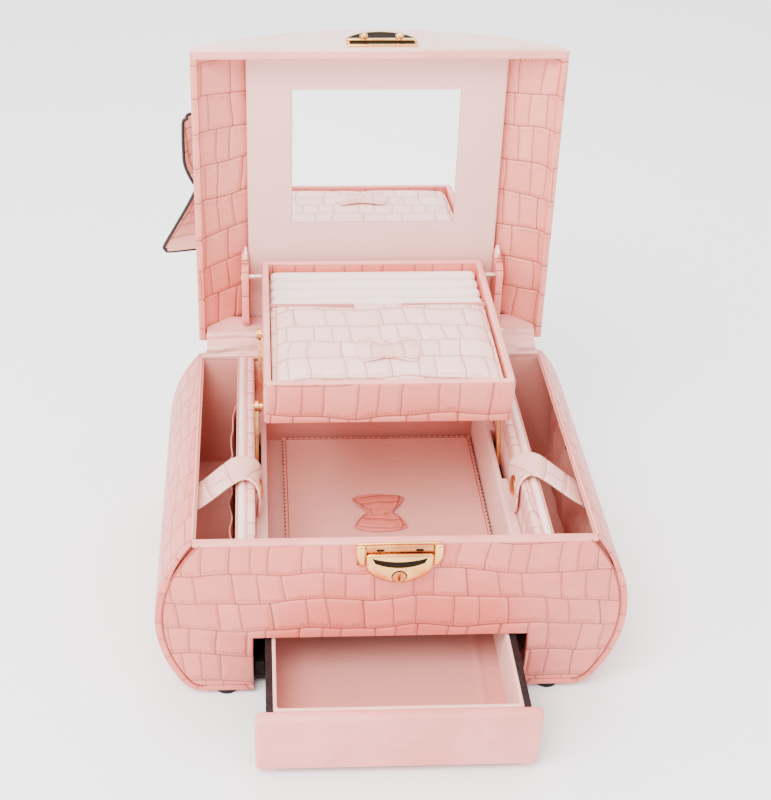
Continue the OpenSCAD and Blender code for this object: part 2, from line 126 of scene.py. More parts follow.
def to_object(name, bm):
    bmesh.ops.recalc_face_normals(bm, faces=bm.faces)
    mesh = bpy.data.meshes.new(name)
    bm.to_mesh(mesh)
    bm.free()
    obj = bpy.data.objects.new(name, mesh)
    scene.collection.objects.link(obj)
    return obj


def smooth(obj, angle=40):
    obj.data.polygons.foreach_set("use_smooth", [True] * len(obj.data.polygons))
    obj.data.set_sharp_from_angle(angle=math.radians(angle))
    return obj


def bevelled(bm, width, segments=3):
    """Rounds every edge of the mesh that turns by more than 35 degrees."""
    bmesh.ops.recalc_face_normals(bm, faces=bm.faces)
    edges = [e for e in bm.edges if e.is_manifold and e.calc_face_angle() > math.radians(35)]
    if width and edges:
        how = {"profile": 0.5, "affect": "EDGES", "clamp_overlap": True}
        bmesh.ops.bevel(bm, geom=edges, offset=width * MM, segments=segments, **how)


def band(bm, a, b):
    """Faces between two closed loops of as many vertices each."""
    for i in range(len(a)):
        j = (i + 1) % len(a)
        bm.faces.new((a[i], a[j], b[j], b[i]))


def lift(axis, p, q, a):
    """A point of an outline drawn across an axis, in metres."""
    return {"x": (a, p, q), "y": (p, a, q), "z": (p, q, a)}[axis]


def prism(name, outline, axis, a0, a1, bevel=0.8, segments=3):
    """An outline extruded along an axis, with round edges."""
    bm = bmesh.new()
    low = [bm.verts.new(Vector(lift(axis, p, q, a0)) * MM) for p, q in outline]
    high = [bm.verts.new(Vector(lift(axis, p, q, a1)) * MM) for p, q in outline]
    bm.faces.new(low)
    bm.faces.new(high)
    band(bm, low, high)
    bmesh.ops.remove_doubles(bm, verts=bm.verts, dist=1e-6)
    bevelled(bm, bevel, segments)
    return smooth(to_object(name, bm))


def board(name, low, high, bevel=0.8, segments=3):
    """A board with round edges, from its low corner to its high one; x may be in either order."""
    x0, x1 = sorted((low[0], high[0]))
    outline = [(x0, low[1]), (x1, low[1]), (x1, high[1]), (x0, high[1])]
    return prism(name, outline, "z", low[2], high[2], bevel, segments)


def ring(name, outer, inner, z0, z1, bevel=0.8, segments=3):
    """A wall that runs round a rectangle, between two outlines of as many points each."""
    bm = bmesh.new()
    loops = [
        [bm.verts.new((p * MM, q * MM, z * MM)) for p, q in outline]
        for outline, z in ((outer, z0), (outer, z1), (inner, z1), (inner, z0))
    ]
    for k in range(4):
        band(bm, loops[k], loops[(k + 1) % 4])
    bevelled(bm, bevel, segments)
    return smooth(to_object(name, bm))


def surface(name, point, ns, nt, thickness=0.0):
    """A surface from point(s, t) with s and t from 0 to 1, thickened if asked."""
    bm = bmesh.new()
    grid = [
        [bm.verts.new(Vector(point(i / ns, j / nt)) * MM) for j in range(nt + 1)]
        for i in range(ns + 1)
    ]
    uv = bm.loops.layers.uv.new("UVMap")
    size_s = sum((grid[i + 1][0].co - grid[i][0].co).length for i in range(ns)) / MM
    size_t = sum((grid[0][j + 1].co - grid[0][j].co).length for j in range(nt)) / MM
    for i in range(ns):
        for j in range(nt):
            corners = ((i, j), (i + 1, j), (i + 1, j + 1), (i, j + 1))
            face = bm.faces.new([grid[a][b] for a, b in corners])
            for loop, (a, b) in zip(face.loops, corners):
                loop[uv].uv = (a / ns * size_s / 100, b / nt * size_t / 100)
    obj = to_object(name, bm)
    if thickness:
        thicken(obj, thickness)
    return smooth(obj, 60)


def thicken(obj, thickness):
    apply_modifier(obj, "SOLIDIFY", thickness=thickness * MM, offset=0, use_rim=True)


def apply_modifier(obj, kind, **settings):
    modifier = obj.modifiers.new(kind.title(), kind)
    for key, value in settings.items():
        setattr(modifier, key, value)
    bpy.context.view_layer.update()
    shown = obj.evaluated_get(bpy.context.evaluated_depsgraph_get())
    mesh = bpy.data.meshes.new_from_object(shown)
    obj.modifiers.remove(modifier)
    obj.data = mesh


def cut(obj, tool):
    """Takes the tool's volume out of the object, and the tool away."""
    apply_modifier(obj, "BOOLEAN", object=tool, operation="DIFFERENCE", solver="EXACT")
    bpy.data.objects.remove(tool)
    return smooth(obj)


def sweep(name, path, section, closed=False):
    """A closed section, given as (side, normal) offsets at each path point, swept along it."""
    bm = bmesh.new()
    points = [Vector(p) * MM for p in path]
    n = len(points)
    normal = None
    rings = []
    for i, p in enumerate(points):
        after = points[(i + 1) % n] if closed or i < n - 1 else p
        before = points[i - 1] if closed or i > 0 else p
        tangent = (after - before).normalized()
        if normal is None:
            pick = Vector((0, 0, 1)) if abs(tangent.z) < 0.9 else Vector((0, 1, 0))
            normal = tangent.cross(pick).cross(tangent).normalized()
        normal = (normal - tangent * normal.dot(tangent)).normalized()
        side = tangent.cross(normal)
        rings.append([bm.verts.new(p + (side * a + normal * b) * MM) for a, b in section])
    for i in range(n if closed else n - 1):
        band(bm, rings[i], rings[(i + 1) % n])
    if not closed:
        bm.faces.new(rings[0])
        bm.faces.new(rings[-1])
    return smooth(to_object(name, bm), 50)


def tube(name, path, radius, sides=12, closed=False):
    return sweep(name, path, arc(0, 0, radius, 0, 2 * math.pi, sides)[:-1], closed)


def lathe(name, profile, centre, axis, steps=40):
    """A profile of (radius, height) turned about an axis through the centre."""
    bm = bmesh.new()
    up = Vector(axis).normalized()
    side = up.orthogonal().normalized()
    front = up.cross(side)
    rings = []
    for r, h in profile:
        if r < 1e-6:
            rings.append([bm.verts.new((Vector(centre) + up * h) * MM)])
            continue
        middle = Vector(centre) + up * h
        turn = [2 * math.pi * k / steps for k in range(steps)]
        around = [middle + (side * math.cos(a) + front * math.sin(a)) * r for a in turn]
        rings.append([bm.verts.new(p * MM) for p in around])
    for a, b in zip(rings, rings[1:]):
        for k in range(steps):
            j = (k + 1) % steps
            corners = [a[k % len(a)], a[j % len(a)], b[j % len(b)], b[k % len(b)]]
            corners = list(dict.fromkeys(corners))
            if len(corners) > 2:
                bm.faces.new(corners)
    return smooth(to_object(name, bm), 35)


def ribbon(name, path, widths, thickness, across):
    """A flat strap along a path, with its width across the given direction."""
    bm = bmesh.new()
    uv = bm.loops.layers.uv.new("UVMap")
    points = [Vector(p) for p in path]
    half = thickness / 2
    rings, along = [], [0.0]
    for i in range(1, len(points)):
        along.append(along[-1] + (points[i] - points[i - 1]).length)
    for i, p in enumerate(points):
        tangent = (points[min(i + 1, len(points) - 1)] - points[max(i - 1, 0)]).normalized()
        side = Vector(across)
        side = (side - tangent * side.dot(tangent)).normalized()
        up = tangent.cross(side)
        w = widths[i] / 2
        edge = [(w - half * (1 - math.cos(a)), half * math.sin(a)) for a in np.linspace(-1.2, 1.2, 5)]
        middle = [(w * f, half * 1.05) for f in (0.8, 0.3, -0.3, -0.8)]
        section = edge + middle
        section += [(-a, -b) for a, b in section]
        rings.append([(p + side * a + up * b, a) for a, b in section])
    verts = [[bm.verts.new(q * MM) for q, _ in r] for r in rings]
    m = len(verts[0])
    for i in range(len(verts) - 1):
        for k in range(m):
            j = (k + 1) % m
            face = bm.faces.new((verts[i][k], verts[i][j], verts[i + 1][j], verts[i + 1][k]))
            at = ((i, k), (i, j), (i + 1, j), (i + 1, k))
            for loop, (a, b) in zip(face.loops, at):
                loop[uv].uv = (rings[a][b][1] / 100, along[a] / 100)
    bm.faces.new(verts[0])
    bm.faces.new(verts[-1])
    return smooth(to_object(name, bm), 60)


def set_uv(obj, place):
    """UVs in decimetres from place(point in mm, face normal)."""
    mesh = obj.data
    layer = mesh.uv_layers.get("UVMap") or mesh.uv_layers.new(name="UVMap")
    for polygon in mesh.polygons:
        normal = polygon.normal
        for k in polygon.loop_indices:
            co = mesh.vertices[mesh.loops[k].vertex_index].co / MM
            u, v = place(co, normal)
            layer.data[k].uv = (u / 100, v / 100)
    return obj


def on_faces(co, normal):
    """Flat UVs across the axis that the face looks along."""
    a = [abs(c) for c in normal]
    if a[1] >= a[0] and a[1] >= a[2]:
        return co.x, co.z
    if a[0] >= a[2]:
        return co.y, co.z
    return co.x, co.y


def on_body_side(co, normal):
    """The length along the bulging side against y."""
    x = abs(co.x)
    a = math.atan2(co.z - BULGE_Z, x - BULGE_X)
    if a > CORNER_A:
        return BULGE_R * (RIM_A - a) + 200, co.y
    a = math.atan2(co.z - CORNER_Z, x - CORNER_X)
    return BULGE_R * (RIM_A - CORNER_A) + CORNER_R * (CORNER_A - a) + 200, co.y


def on_vault(co, normal):
    """The length along the vault against y."""
    x, z = abs(co.x), co.z - LID_Z
    u = CROWN_R * (math.pi / 2 - max(SHOULDER_A, math.atan2(z - CROWN_Z, x)))
    if x > SHOULDER_X and z < SHOULDER_Z:
        u += SHOULDER_R * SHOULDER_A + SHOULDER_Z - z
    elif x > SHOULDER_X:
        u += SHOULDER_R * max(0.0, SHOULDER_A - math.atan2(z - SHOULDER_Z, x - SHOULDER_X))
    return math.copysign(u, co.x) + 3, co.y


# ---------- materials ----------


def linear(r, g, b):
    """A colour from 0-255 values, as linear light."""
    c = [v / 255 for v in (r, g, b)]
    return [v / 12.92 if v < 0.04045 else ((v + 0.055) / 1.055) ** 2.4 for v in c] + [1.0]


class Paint:
    """A node material: the shader's own values, and nodes that feed its colour and bump."""

    def __init__(self, name, **values):
        self.material = bpy.data.materials.new(name)
        self.material.use_nodes = True
        self.nodes = self.material.node_tree.nodes
        self.links = self.material.node_tree.links
        self.shader = self.nodes["Principled BSDF"]
        for key, value in values.items():
            label = key.replace("_", " ").title().replace("Ior", "IOR")
            self.shader.inputs[label].default_value = value

    def node(self, kind, inputs=(), **settings):
        made = self.nodes.new("ShaderNode" + kind)
        for key, value in settings.items():
            setattr(made, key, value)
        for key, value in dict(inputs).items():
            self.put(made.inputs[key], value)
        return made

    def put(self, socket, value):
        if isinstance(value, bpy.types.NodeSocket):
            self.links.new(value, socket)
        else:
            socket.default_value = linear(*value) if socket.type == "RGBA" else value

    def math(self, operation, *values):
        return self.node("Math", enumerate(values), operation=operation).outputs[0]

    def ramp(self, value, low, high, a=0.0, b=1.0, kind="SMOOTHSTEP"):
        values = {"Value": value, "From Min": low, "From Max": high, "To Min": a, "To Max": b}
        return self.node("MapRange", values, interpolation_type=kind).outputs[0]

    def mix(self, factor, a, b):
        return self.node("Mix", {0: factor, 6: a, 7: b}, data_type="RGBA").outputs[2]

    def noise(self, vector, scale, detail, roughness, out="Fac", **settings):
        values = {"Vector": vector, "Scale": scale, "Detail": detail, "Roughness": roughness}
        return self.node("TexNoise", values, **settings).outputs[out]

    def place(self):
        return self.node("TexCoord").outputs["Object"]

    def flat(self):
        """The UV map in millimetres."""
        uv = self.node("UVMap", uv_map="UVMap").outputs[0]
        return self.node("VectorMath", {0: uv, "Scale": 100.0}, operation="SCALE").outputs[0]

    def bump(self, height, distance, strength=1.0):
        values = {"Height": height, "Distance": distance, "Strength": strength}
        return self.node("Bump", values).outputs[0]

    def finish(self, colour=None, normal=None, roughness=None):
        for key, value in (("Base Color", colour), ("Normal", normal), ("Roughness", roughness)):
            if value is not None:
                self.put(self.shader.inputs[key], value)
        return self.material


def croc(name, light, deep, line, cell, row, seed, shift=0.0, rough=0.36, depth=0.5):
    """Crocodile embossing: uneven rows of soft cells with fine pores along each row.

    cell, row and shift are in millimetres, and seed sets which cells come where.
    """
    p = Paint(name, specular_ior_level=0.5, coat_weight=0.12, coat_roughness=0.25)
    flat = p.flat()
    wander = p.noise(flat, 0.022, 1.0, 0.4, "Color", noise_dimensions="2D")
    parts = p.node("SeparateXYZ", {"Vector": flat})
    sway = p.node("SeparateXYZ", {"Vector": wander})
    v = p.math("ADD", parts.outputs[1], p.math("MULTIPLY_ADD", sway.outputs[0], 9.0, shift - 4.5))
    u = p.math("ADD", parts.outputs[0], p.math("MULTIPLY_ADD", sway.outputs[1], 7.0, -3.5))
    q = p.math("DIVIDE", v, row)
    line_no = p.math("FLOOR", q)
    fv = p.math("FRACT", q)
    luck = p.math("ADD", line_no, seed + 0.37)
    chance = p.node("TexWhiteNoise", {"W": luck}, noise_dimensions="1D")
    odds = p.node("SeparateXYZ", {"Vector": chance.outputs["Color"]})
    width = p.math("MULTIPLY_ADD", odds.outputs[1], 0.36 * cell, 0.8 * cell)
    slant = p.math("MULTIPLY_ADD", odds.outputs[2], 3.6, -1.8)
    lean = p.math("MULTIPLY", p.math("SUBTRACT", fv, 0.5), slant)
    s = p.math("ADD", u, p.math("MULTIPLY_ADD", odds.outputs[0], 5 * cell, lean))
    s = p.math("DIVIDE", s, width)
    wave = p.math("SINE", p.math("MULTIPLY_ADD", s, 2.3, p.math("MULTIPLY", odds.outputs[0], 40.0)))
    s = p.math("MULTIPLY_ADD", wave, 0.18, s)
    fu = p.math("FRACT", s)
    du = p.math("MULTIPLY", p.math("MINIMUM", fu, p.math("SUBTRACT", 1.0, fu)), width)
    dv = p.math("MULTIPLY", p.math("MINIMUM", fv, p.math("SUBTRACT", 1.0, fv)), row)
    edge = p.math("SMOOTH_MIN", p.math("MULTIPLY", du, 1.35), dv, 1.6)
    groove = p.math("SUBTRACT", 1.0, p.ramp(edge, 0.0, 0.62))
    pillow = p.ramp(edge, -0.2, 2.6, kind="SMOOTHERSTEP")
    grain = p.noise(flat, 1.1, 4.0, 0.6, noise_dimensions="2D")
    crease = p.noise(flat, 0.16, 3.0, 0.55, noise_dimensions="2D")
    near = p.math("MULTIPLY", p.ramp(fv, 0.06, 0.1), p.ramp(fv, 0.2, 0.13))
    pitch = p.math("FRACT", p.math("DIVIDE", u, 1.7))
    tick = p.math("MULTIPLY", p.ramp(pitch, 0.42, 0.5), p.ramp(pitch, 0.78, 0.66))
    pores = p.math("MULTIPLY", p.math("MULTIPLY", near, tick), p.ramp(crease, 0.4, 0.55))
    height = p.math("MULTIPLY_ADD", grain, 0.12, pillow)
    height = p.math("MULTIPLY_ADD", crease, 0.35, height)
    height = p.math("MULTIPLY_ADD", pores, -0.3, height)
    pair = p.node("CombineXYZ", {"X": p.math("FLOOR", s), "Y": line_no}).outputs[0]
    which = p.node("TexWhiteNoise", {"Vector": pair}, noise_dimensions="2D")
    tone = p.math("MULTIPLY_ADD", which.outputs["Value"], 0.45, p.math("MULTIPLY", crease, 0.5))
    colour = p.mix(tone, light, deep)
    mark = p.math("MAXIMUM", p.math("MULTIPLY", groove, 0.92), p.math("MULTIPLY", pores, 0.55))
    colour = p.mix(mark, colour, line)
    roughness = p.ramp(crease, 0.3, 0.7, rough - 0.05, rough + 0.08)
    return p.finish(colour, p.bump(height, depth * MM), roughness)


def leather(name, light, deep, rough=0.42, bump=0.06):
    """Smooth leather with a fine pebble grain and slow changes of tone."""
    p = Paint(name, specular_ior_level=0.45, coat_weight=0.08, coat_roughness=0.3)
    place = p.place()
    pebble = p.node("TexVoronoi", {"Vector": place, "Scale": 1500.0}, feature="SMOOTH_F1")
    slow = p.noise(place, 28.0, 3.0, 0.6)
    fine = p.noise(place, 700.0, 3.0, 0.6)
    height = p.math("MULTIPLY_ADD", fine, 0.5, pebble.outputs["Distance"])
    colour = p.mix(p.ramp(slow, 0.35, 0.68), light, deep)
    roughness = p.ramp(fine, 0.3, 0.7, rough - 0.05, rough + 0.07)
    return p.finish(colour, p.bump(height, bump * MM), roughness)


def suede(name, light, deep, nap=0.35, rough=0.9, tooth=0.12):
    """Suede or short velvet: a matt nap, brushed lighter and darker in patches."""
    p = Paint(name, specular_ior_level=0.15, sheen_weight=nap, sheen_roughness=0.45)
    p.shader.inputs["Roughness"].default_value = rough
    p.put(p.shader.inputs["Sheen Tint"], light)
    place = p.place()
    brushed = p.noise(place, 22.0, 4.0, 0.62)
    streak = p.node("VectorMath", {0: place, 1: (60.0, 420.0, 420.0)}, operation="MULTIPLY")
    streaks = p.noise(streak.outputs[0], 1.0, 2.0, 0.5)
    fibre = p.noise(place, 1300.0, 4.0, 0.7)
    tone = p.math("MULTIPLY_ADD", streaks, 0.35, p.math("MULTIPLY", brushed, 0.5))
    tone = p.math("MULTIPLY_ADD", fibre, 0.3, p.math("SUBTRACT", tone, 0.12))
    colour = p.mix(tone, light, deep)
    return p.finish(colour, p.bump(fibre, tooth * MM))


def satin(name, light, deep):
    """Satin lining: bright, with fine threads."""
    p = Paint(name, specular_ior_level=0.5, sheen_weight=0.3, sheen_roughness=0.3)
    place = p.place()
    threads = p.node("VectorMath", {0: place, 1: (2600.0, 240.0, 240.0)}, operation="MULTIPLY")
    weave = p.noise(threads.outputs[0], 1.0, 2.0, 0.5)
    slow = p.noise(place, 45.0, 3.0, 0.6)
    colour = p.mix(p.ramp(slow, 0.3, 0.7), light, deep)
    roughness = p.ramp(weave, 0.3, 0.7, 0.34, 0.5)
    return p.finish(colour, p.bump(weave, 0.05 * MM), roughness)


def metal(name, light, deep, rough=0.18):
    """Plated metal with faint scuffs and a little wear."""
    p = Paint(name, metallic=1.0)
    place = p.place()
    scuff = p.noise(place, 260.0, 5.0, 0.7)
    slow = p.noise(place, 60.0, 2.0, 0.5)
    colour = p.mix(p.ramp(slow, 0.3, 0.7), light, deep)
    roughness = p.ramp(scuff, 0.35, 0.75, rough - 0.06, rough + 0.12)
    return p.finish(colour, p.bump(scuff, 0.02 * MM), roughness)


def matt(name, light, deep, rough=0.7, scale=300.0, depth=0.1):
    """Plain matt board, card or rubber with a fine tooth."""
    p = Paint(name, specular_ior_level=0.15)
    place = p.place()
    tooth = p.noise(place, scale, 5.0, 0.7)
    colour = p.mix(p.ramp(tooth, 0.3, 0.7), light, deep)
    roughness = p.ramp(tooth, 0.3, 0.7, rough - 0.08, rough + 0.1)
    return p.finish(colour, p.bump(tooth, depth * MM), roughness)


LINE = (138, 58, 42)
CROC = croc("croc_body", (233, 126, 112), (217, 101, 87), LINE, 12.6, 17.8, 3, 8.0)
CROC_LID = croc("croc_lid", (238, 146, 130), (224, 120, 102), LINE, 13.0, 19.3, 11)
CROC_TRAY = croc("croc_tray", (232, 130, 115), (217, 107, 92), LINE, 13.4, 19.5, 23, -130.6)
CROC_COVER = croc("croc_cover", (246, 210, 202), (238, 184, 174), (190, 108, 90), 13.0, 15.6, 31)
CROC_BAND = croc("croc_band", (242, 188, 178), (232, 162, 148), (176, 96, 78), 10.5, 13.0, 47)
CROC_STRAP = croc("croc_strap", (243, 194, 184), (234, 170, 158), (190, 112, 94), 44.0, 12.5, 5)
CROC_BOW = croc("croc_bow", (222, 122, 106), (206, 104, 88), (150, 66, 50), 10.0, 14.0, 53)
SMOOTH = leather("smooth_pink", (240, 162, 150), (232, 146, 134))
FACE = leather("drawer_pink", (239, 150, 140), (230, 134, 124))
PALE = leather("smooth_pale", (246, 212, 203), (240, 200, 190), 0.38)
FABRIC = suede("pale_suede", (240, 190, 180), (226, 168, 156), 0.3)
FLOCK = suede("drawer_flock", (224, 148, 136), (206, 126, 114), 0.3)
MAT = suede("mat_suede", (228, 164, 150), (210, 140, 124), 0.3)
# Dark red-brown suede that shows between the mat's pinked teeth: painted shade in the gaps.
MAT_GAP_SHADE = suede("mat_gap_shade", (150, 70, 58), (122, 48, 38), 0.2)
ROLL = suede("ring_velvet", (248, 226, 220), (238, 210, 202), 0.5)
VELVET = suede("rose_velvet", (222, 152, 138), (200, 124, 108), 0.22)
SATIN = satin("satin", (240, 180, 170), (224, 150, 138))
GOLD = metal("gold", (244, 196, 126), (228, 166, 92))
COPPER = metal("copper_gold", (214, 146, 92), (186, 116, 66), 0.25)
# Near black for the lock's and the catch's slots, gaps and notches: painted shade in these hollows.
HOLLOW_SHADE = matt("hollow_shade", (30, 18, 6), (16, 10, 4), 0.75, 500.0, 0.05)
STEEL = metal("steel", (240, 214, 204), (222, 196, 186), 0.25)
BLACK = matt("black_board", (44, 30, 30), (26, 18, 18), 0.6)
RUBBER = matt("rubber", (40, 36, 36), (26, 24, 24), 0.75, 500.0, 0.15)
EDGE = leather("black_piping", (26, 19, 21), (14, 10, 12), 0.5)
SEAM = leather("seam_shadow", (186, 88, 72), (164, 66, 52))
THREAD = matt("red_thread", (150, 40, 44), (120, 26, 30), 0.8, 900.0, 0.2)


def mirror_material():
    p = Paint("silvered_glass", metallic=1.0, specular_ior_level=0.5)
    place = p.place()
    film = p.noise(place, 40.0, 3.0, 0.6)
    colour = p.mix(p.ramp(film, 0.3, 0.7), (250, 250, 250), (246, 247, 247))
    return p.finish(colour, None, p.ramp(film, 0.4, 0.8, 0.01, 0.03))


GLASS = mirror_material()

SLOTS = {
    "croc_leather": (CROC, CROC_LID, CROC_TRAY, CROC_COVER, CROC_BAND, CROC_STRAP, CROC_BOW),
    "smooth_leather": (SMOOTH, PALE, FACE, EDGE, SEAM),
    "suede_board": (FABRIC, FLOCK, MAT, MAT_GAP_SHADE),
    "dark_velvet": (VELVET,),
    "pale_velvet": (ROLL,),
    "satin": (SATIN,),
    "gold": (GOLD, HOLLOW_SHADE, COPPER),
    "steel": (STEEL,),
    "dark_board": (BLACK, THREAD),
    "black_rubber": (RUBBER,),
    "silvered_glass": (GLASS,),
}
SLOT_OF = {m.name: s for s, ms in SLOTS.items() for m in ms}


def piece(obj, body, material, *nodes, uv=None):
    """Gives a piece its material and its body, and hides the CAD nodes that it stands for.

    The lid's pieces are drawn on the closed lid, and open with it here.
    """
    if uv:
        set_uv(obj, uv)
    obj.data.materials.clear()
    obj.data.materials.append(material)
    if body == "lid":
        obj.data.transform(OPEN)
    if body:
        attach(obj, body)
    if nodes:
        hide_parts(*nodes)
    return obj


def keep(material, *nodes):
    """CAD nodes that stay, with a better material."""
    for node in nodes:
        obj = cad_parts[node]
        obj.data.materials.clear()
        obj.data.materials.append(material)
        smooth(obj, 30)


def both(make):
    """Builds a piece for the right (1) and the left (-1)."""
    make(1, "right")
    make(-1, "left")


CLOTH = {
    "quality": 5,
    "mass": 0.3,
    "use_pressure": True,
    "tension_stiffness": 12,
    "bending_stiffness": 1.5,
}


def puff(obj, voxel, cap, pressure):
    """Fills a padded piece by cloth simulation, with its movement capped in mm."""
    apply_modifier(obj, "REMESH", mode="VOXEL", voxel_size=voxel * MM)
    rest = np.array([v.co for v in obj.data.vertices])
    cloth = obj.modifiers.new("Cloth", "CLOTH")
    cloth.settings.effector_weights.gravity = 0
    for key, value in CLOTH.items():
        setattr(cloth.settings, key, value)
    cloth.settings.uniform_pressure_force = pressure
    for f in range(1, 21):
        scene.frame_set(f)
    shown = obj.evaluated_get(bpy.context.evaluated_depsgraph_get()).to_mesh()
    moved = np.array([v.co for v in shown.vertices])
    obj.modifiers.remove(cloth)
    scene.frame_set(1)
    step = moved - rest
    length = np.linalg.norm(step, axis=1, keepdims=True)
    step *= np.minimum(1, cap * MM / np.maximum(length, 1e-9))
    for vertex, co in zip(obj.data.vertices, rest + step):
        vertex.co = co
    apply_modifier(obj, "SUBSURF", levels=1)
    return smooth(obj, 80)


# ---------- camera, light and floor ----------


def camera():
    """Looks down at the open chest from the front left."""
    eye = (-0.06371, -0.58311, 0.52834)
    yaw, pitch, roll = math.radians(2.75), math.radians(33.7), math.radians(0.88)
    forward = Vector(
        (math.sin(yaw) * math.cos(pitch), math.cos(yaw) * math.cos(pitch), -math.sin(pitch))
    )
    right = Vector((math.cos(yaw), -math.sin(yaw), 0))
    up = right.cross(forward)
    side = right * math.cos(roll) + up * math.sin(roll)
    top = up * math.cos(roll) - right * math.sin(roll)
    data = bpy.data.cameras.new("camera")
    data.sensor_width = 36
    data.lens = 62.65
    data.shift_x, data.shift_y = 0.088, -0.031
    data.clip_start = 0.01
    obj = bpy.data.objects.new("camera", data)
    scene.collection.objects.link(obj)
    turn = Matrix((side, top, -forward)).transposed().to_4x4()
    obj.matrix_world = Matrix.Translation(eye) @ turn
    scene.camera = obj


def area_light(name, place, target, size, power):
    data = bpy.data.lights.new(name, "AREA")
    data.shape = "DISK"
    data.size = size
    data.energy = power
    obj = bpy.data.objects.new(name, data)
    scene.collection.objects.link(obj)
    obj.location = place
    obj.rotation_euler = (Vector(target) - Vector(place)).to_track_quat("-Z", "Y").to_euler()


def studio():
    bm = bmesh.new()
    bmesh.ops.create_grid(bm, x_segments=8, y_segments=8, size=4.0)
    floor = to_object("floor", bm)
    p = Paint("floor_paper", specular_ior_level=0.2)
    place = p.place()
    tooth = p.noise(place, 400.0, 3.0, 0.6)
    colour = p.mix(p.ramp(tooth, 0.3, 0.7), (255, 255, 255), (252, 252, 252))
    p.shader.inputs["Roughness"].default_value = 0.9
    floor.data.materials.append(p.finish(colour, p.bump(tooth, 0.00005, 0.3)))
    world = bpy.data.worlds.new("studio")
    world.use_nodes = True
    sky = world.node_tree.nodes["Background"].inputs
    sky["Color"].default_value = (1.0, 0.99, 0.985, 1)
    sky["Strength"].default_value = 1.9
    scene.world = world
    area_light("key", (-0.5, -0.7, 1.3), (0, 0, 0.1), 0.9, 33)
    area_light("side", (-1.1, -0.5, 0.6), (0, 0, 0.1), 0.8, 11)
    area_light("fill", (0.8, -0.9, 0.9), (0, 0, 0.1), 1.0, 4)
    area_light("top", (0.1, 0.5, 1.5), (0, 0.05, 0.1), 1.0, 16)


camera()
studio()

# ---------- body ----------


def thinned(inset):
    """The inside of the side wall, which thins towards its rim."""
    points = []
    for k, ((x0, z0), (x1, z1)) in enumerate(zip(body_side(0), body_side(SKIN))):
        w = 0.28 + 0.72 * min(1.0, k / 12)
        points.append((x0 * (1 - w) + x1 * w - inset, z0 * (1 - w) + z1 * w))
    return points


def side_skin(s, name):
    outline = body_side(0) + [(BAY_X, BASE_Z), (BAY_X, BASE_Z + SKIN)] + thinned(0)[::-1]
    outline = [(s * x, z) for x, z in outline]
    obj = prism(f"{name}_side_skin", outline, "y", FRONT, REAR, 0.6, 3)
    piece(obj, "chest", CROC, f"{name}_side", uv=on_body_side)


both(side_skin)


def panel_outline(inset):
    return body_side(inset) + flipped(body_side(inset))


def front_outline():
    right = body_side(SKIN + 0.25)
    bay = [(BAY_X, right[-1][1]), (BAY_X, BAY_TOP), (-BAY_X, BAY_TOP), (-BAY_X, right[-1][1])]
    return right + bay + flipped(right)


front = prism("front_panel_skin", front_outline(), "y", FRONT - 0.1, FRONT + PANEL, 0.9)
piece(front, "chest", CROC, "front_panel", uv=on_faces)
rear = prism("rear_panel_skin", panel_outline(SKIN + 0.25), "y", REAR - PANEL, REAR + 0.1, 0.9)
piece(rear, "chest", CROC, "rear_panel", uv=on_faces)

for name, y0, y1 in (
    ("front", FRONT - 0.35, FRONT + PANEL + 0.5),
    ("rear", REAR - PANEL - 0.4, REAR + 0.2),
):
    fold = board(f"{name}_rim_fold", (-96.3, y0, RIM_Z - 1.5), (96.3, y1, RIM_Z + 0.3), 0.8, 4)
    piece(fold, "chest", FACE)


def rim_piping(s, name):
    x = s * (HALF_W - 1.2)
    path = [(x, y, RIM_Z - 0.3) for y in (FRONT + 3.6, 0, REAR - 3.6)]
    obj = tube(f"{name}_rim_piping", path, 0.6)
    piece(obj, "chest", SMOOTH)
    edge = [(s * x, z) for x, z in body_side(SKIN + 0.1)]
    for end, y in (("front", FRONT - 0.05), ("rear", REAR + 0.05)):
        obj = tube(f"{name}_{end}_piping", [(x, y, z) for x, z in edge], 0.4, 8)
        piece(obj, "chest", SEAM)


both(rim_piping)


# ---------- inside the body ----------


def partition(s, name):
    low, high = (s * 71.2, -INSIDE_Y, 24), (s * PART_OUT, INSIDE_Y, RIM_Z + 0.1)
    outer = board(f"{name}_partition_outer", low, high, 1.7, 5)
    piece(outer, "chest", PALE, f"{name}_partition")
    low, high = (s * PART_IN, -INSIDE_Y, FLOOR_Z), (s * 70.9, INSIDE_Y, RIM_Z - 0.2)
    inner = board(f"{name}_partition_inner", low, high, 1.9, 5)
    piece(inner, "chest", CROC_BAND, uv=lambda co, n: (co.y, co.z + co.x))
    path = [(s * 71.05, y, RIM_Z - 0.9) for y in (-79, 0, 79)]
    seam = tube(f"{name}_partition_piping", path, 0.5, 8)
    piece(seam, "chest", SMOOTH)


both(partition)


def ledge(s, name):
    lo, hi = s * WELL_X, s * (PART_IN - 0.05)
    slot_x = s * 63.3
    outline = [(lo, -INSIDE_Y), (hi, -INSIDE_Y), (hi, -8), (slot_x, -8)]
    outline += [(slot_x, 36), (hi, 36), (hi, INSIDE_Y), (lo, INSIDE_Y)]
    obj = prism(f"{name}_ledge_board", outline, "z", FLOOR_Z, LEDGE_Z, 0.9)
    piece(obj, "chest", FABRIC, f"{name}_ledge")
    low, high = (s * 63.5, -7.8, LEDGE_Z - 13), (s * (PART_IN - 0.02), 35.8, LEDGE_Z - 9)
    piece(board(f"{name}_slot_liner", low, high, 0.2, 1), "chest", BLACK)


both(ledge)

for name, y0, y1 in (("front", -79.3, -78.3), ("rear", 76.4, 77.3)):
    wall = board(f"well_{name}_lining", (-66.2, y0, FLOOR_Z), (66.2, y1, RIM_Z - 2.2), 0.4)
    piece(wall, "chest", FLOCK)


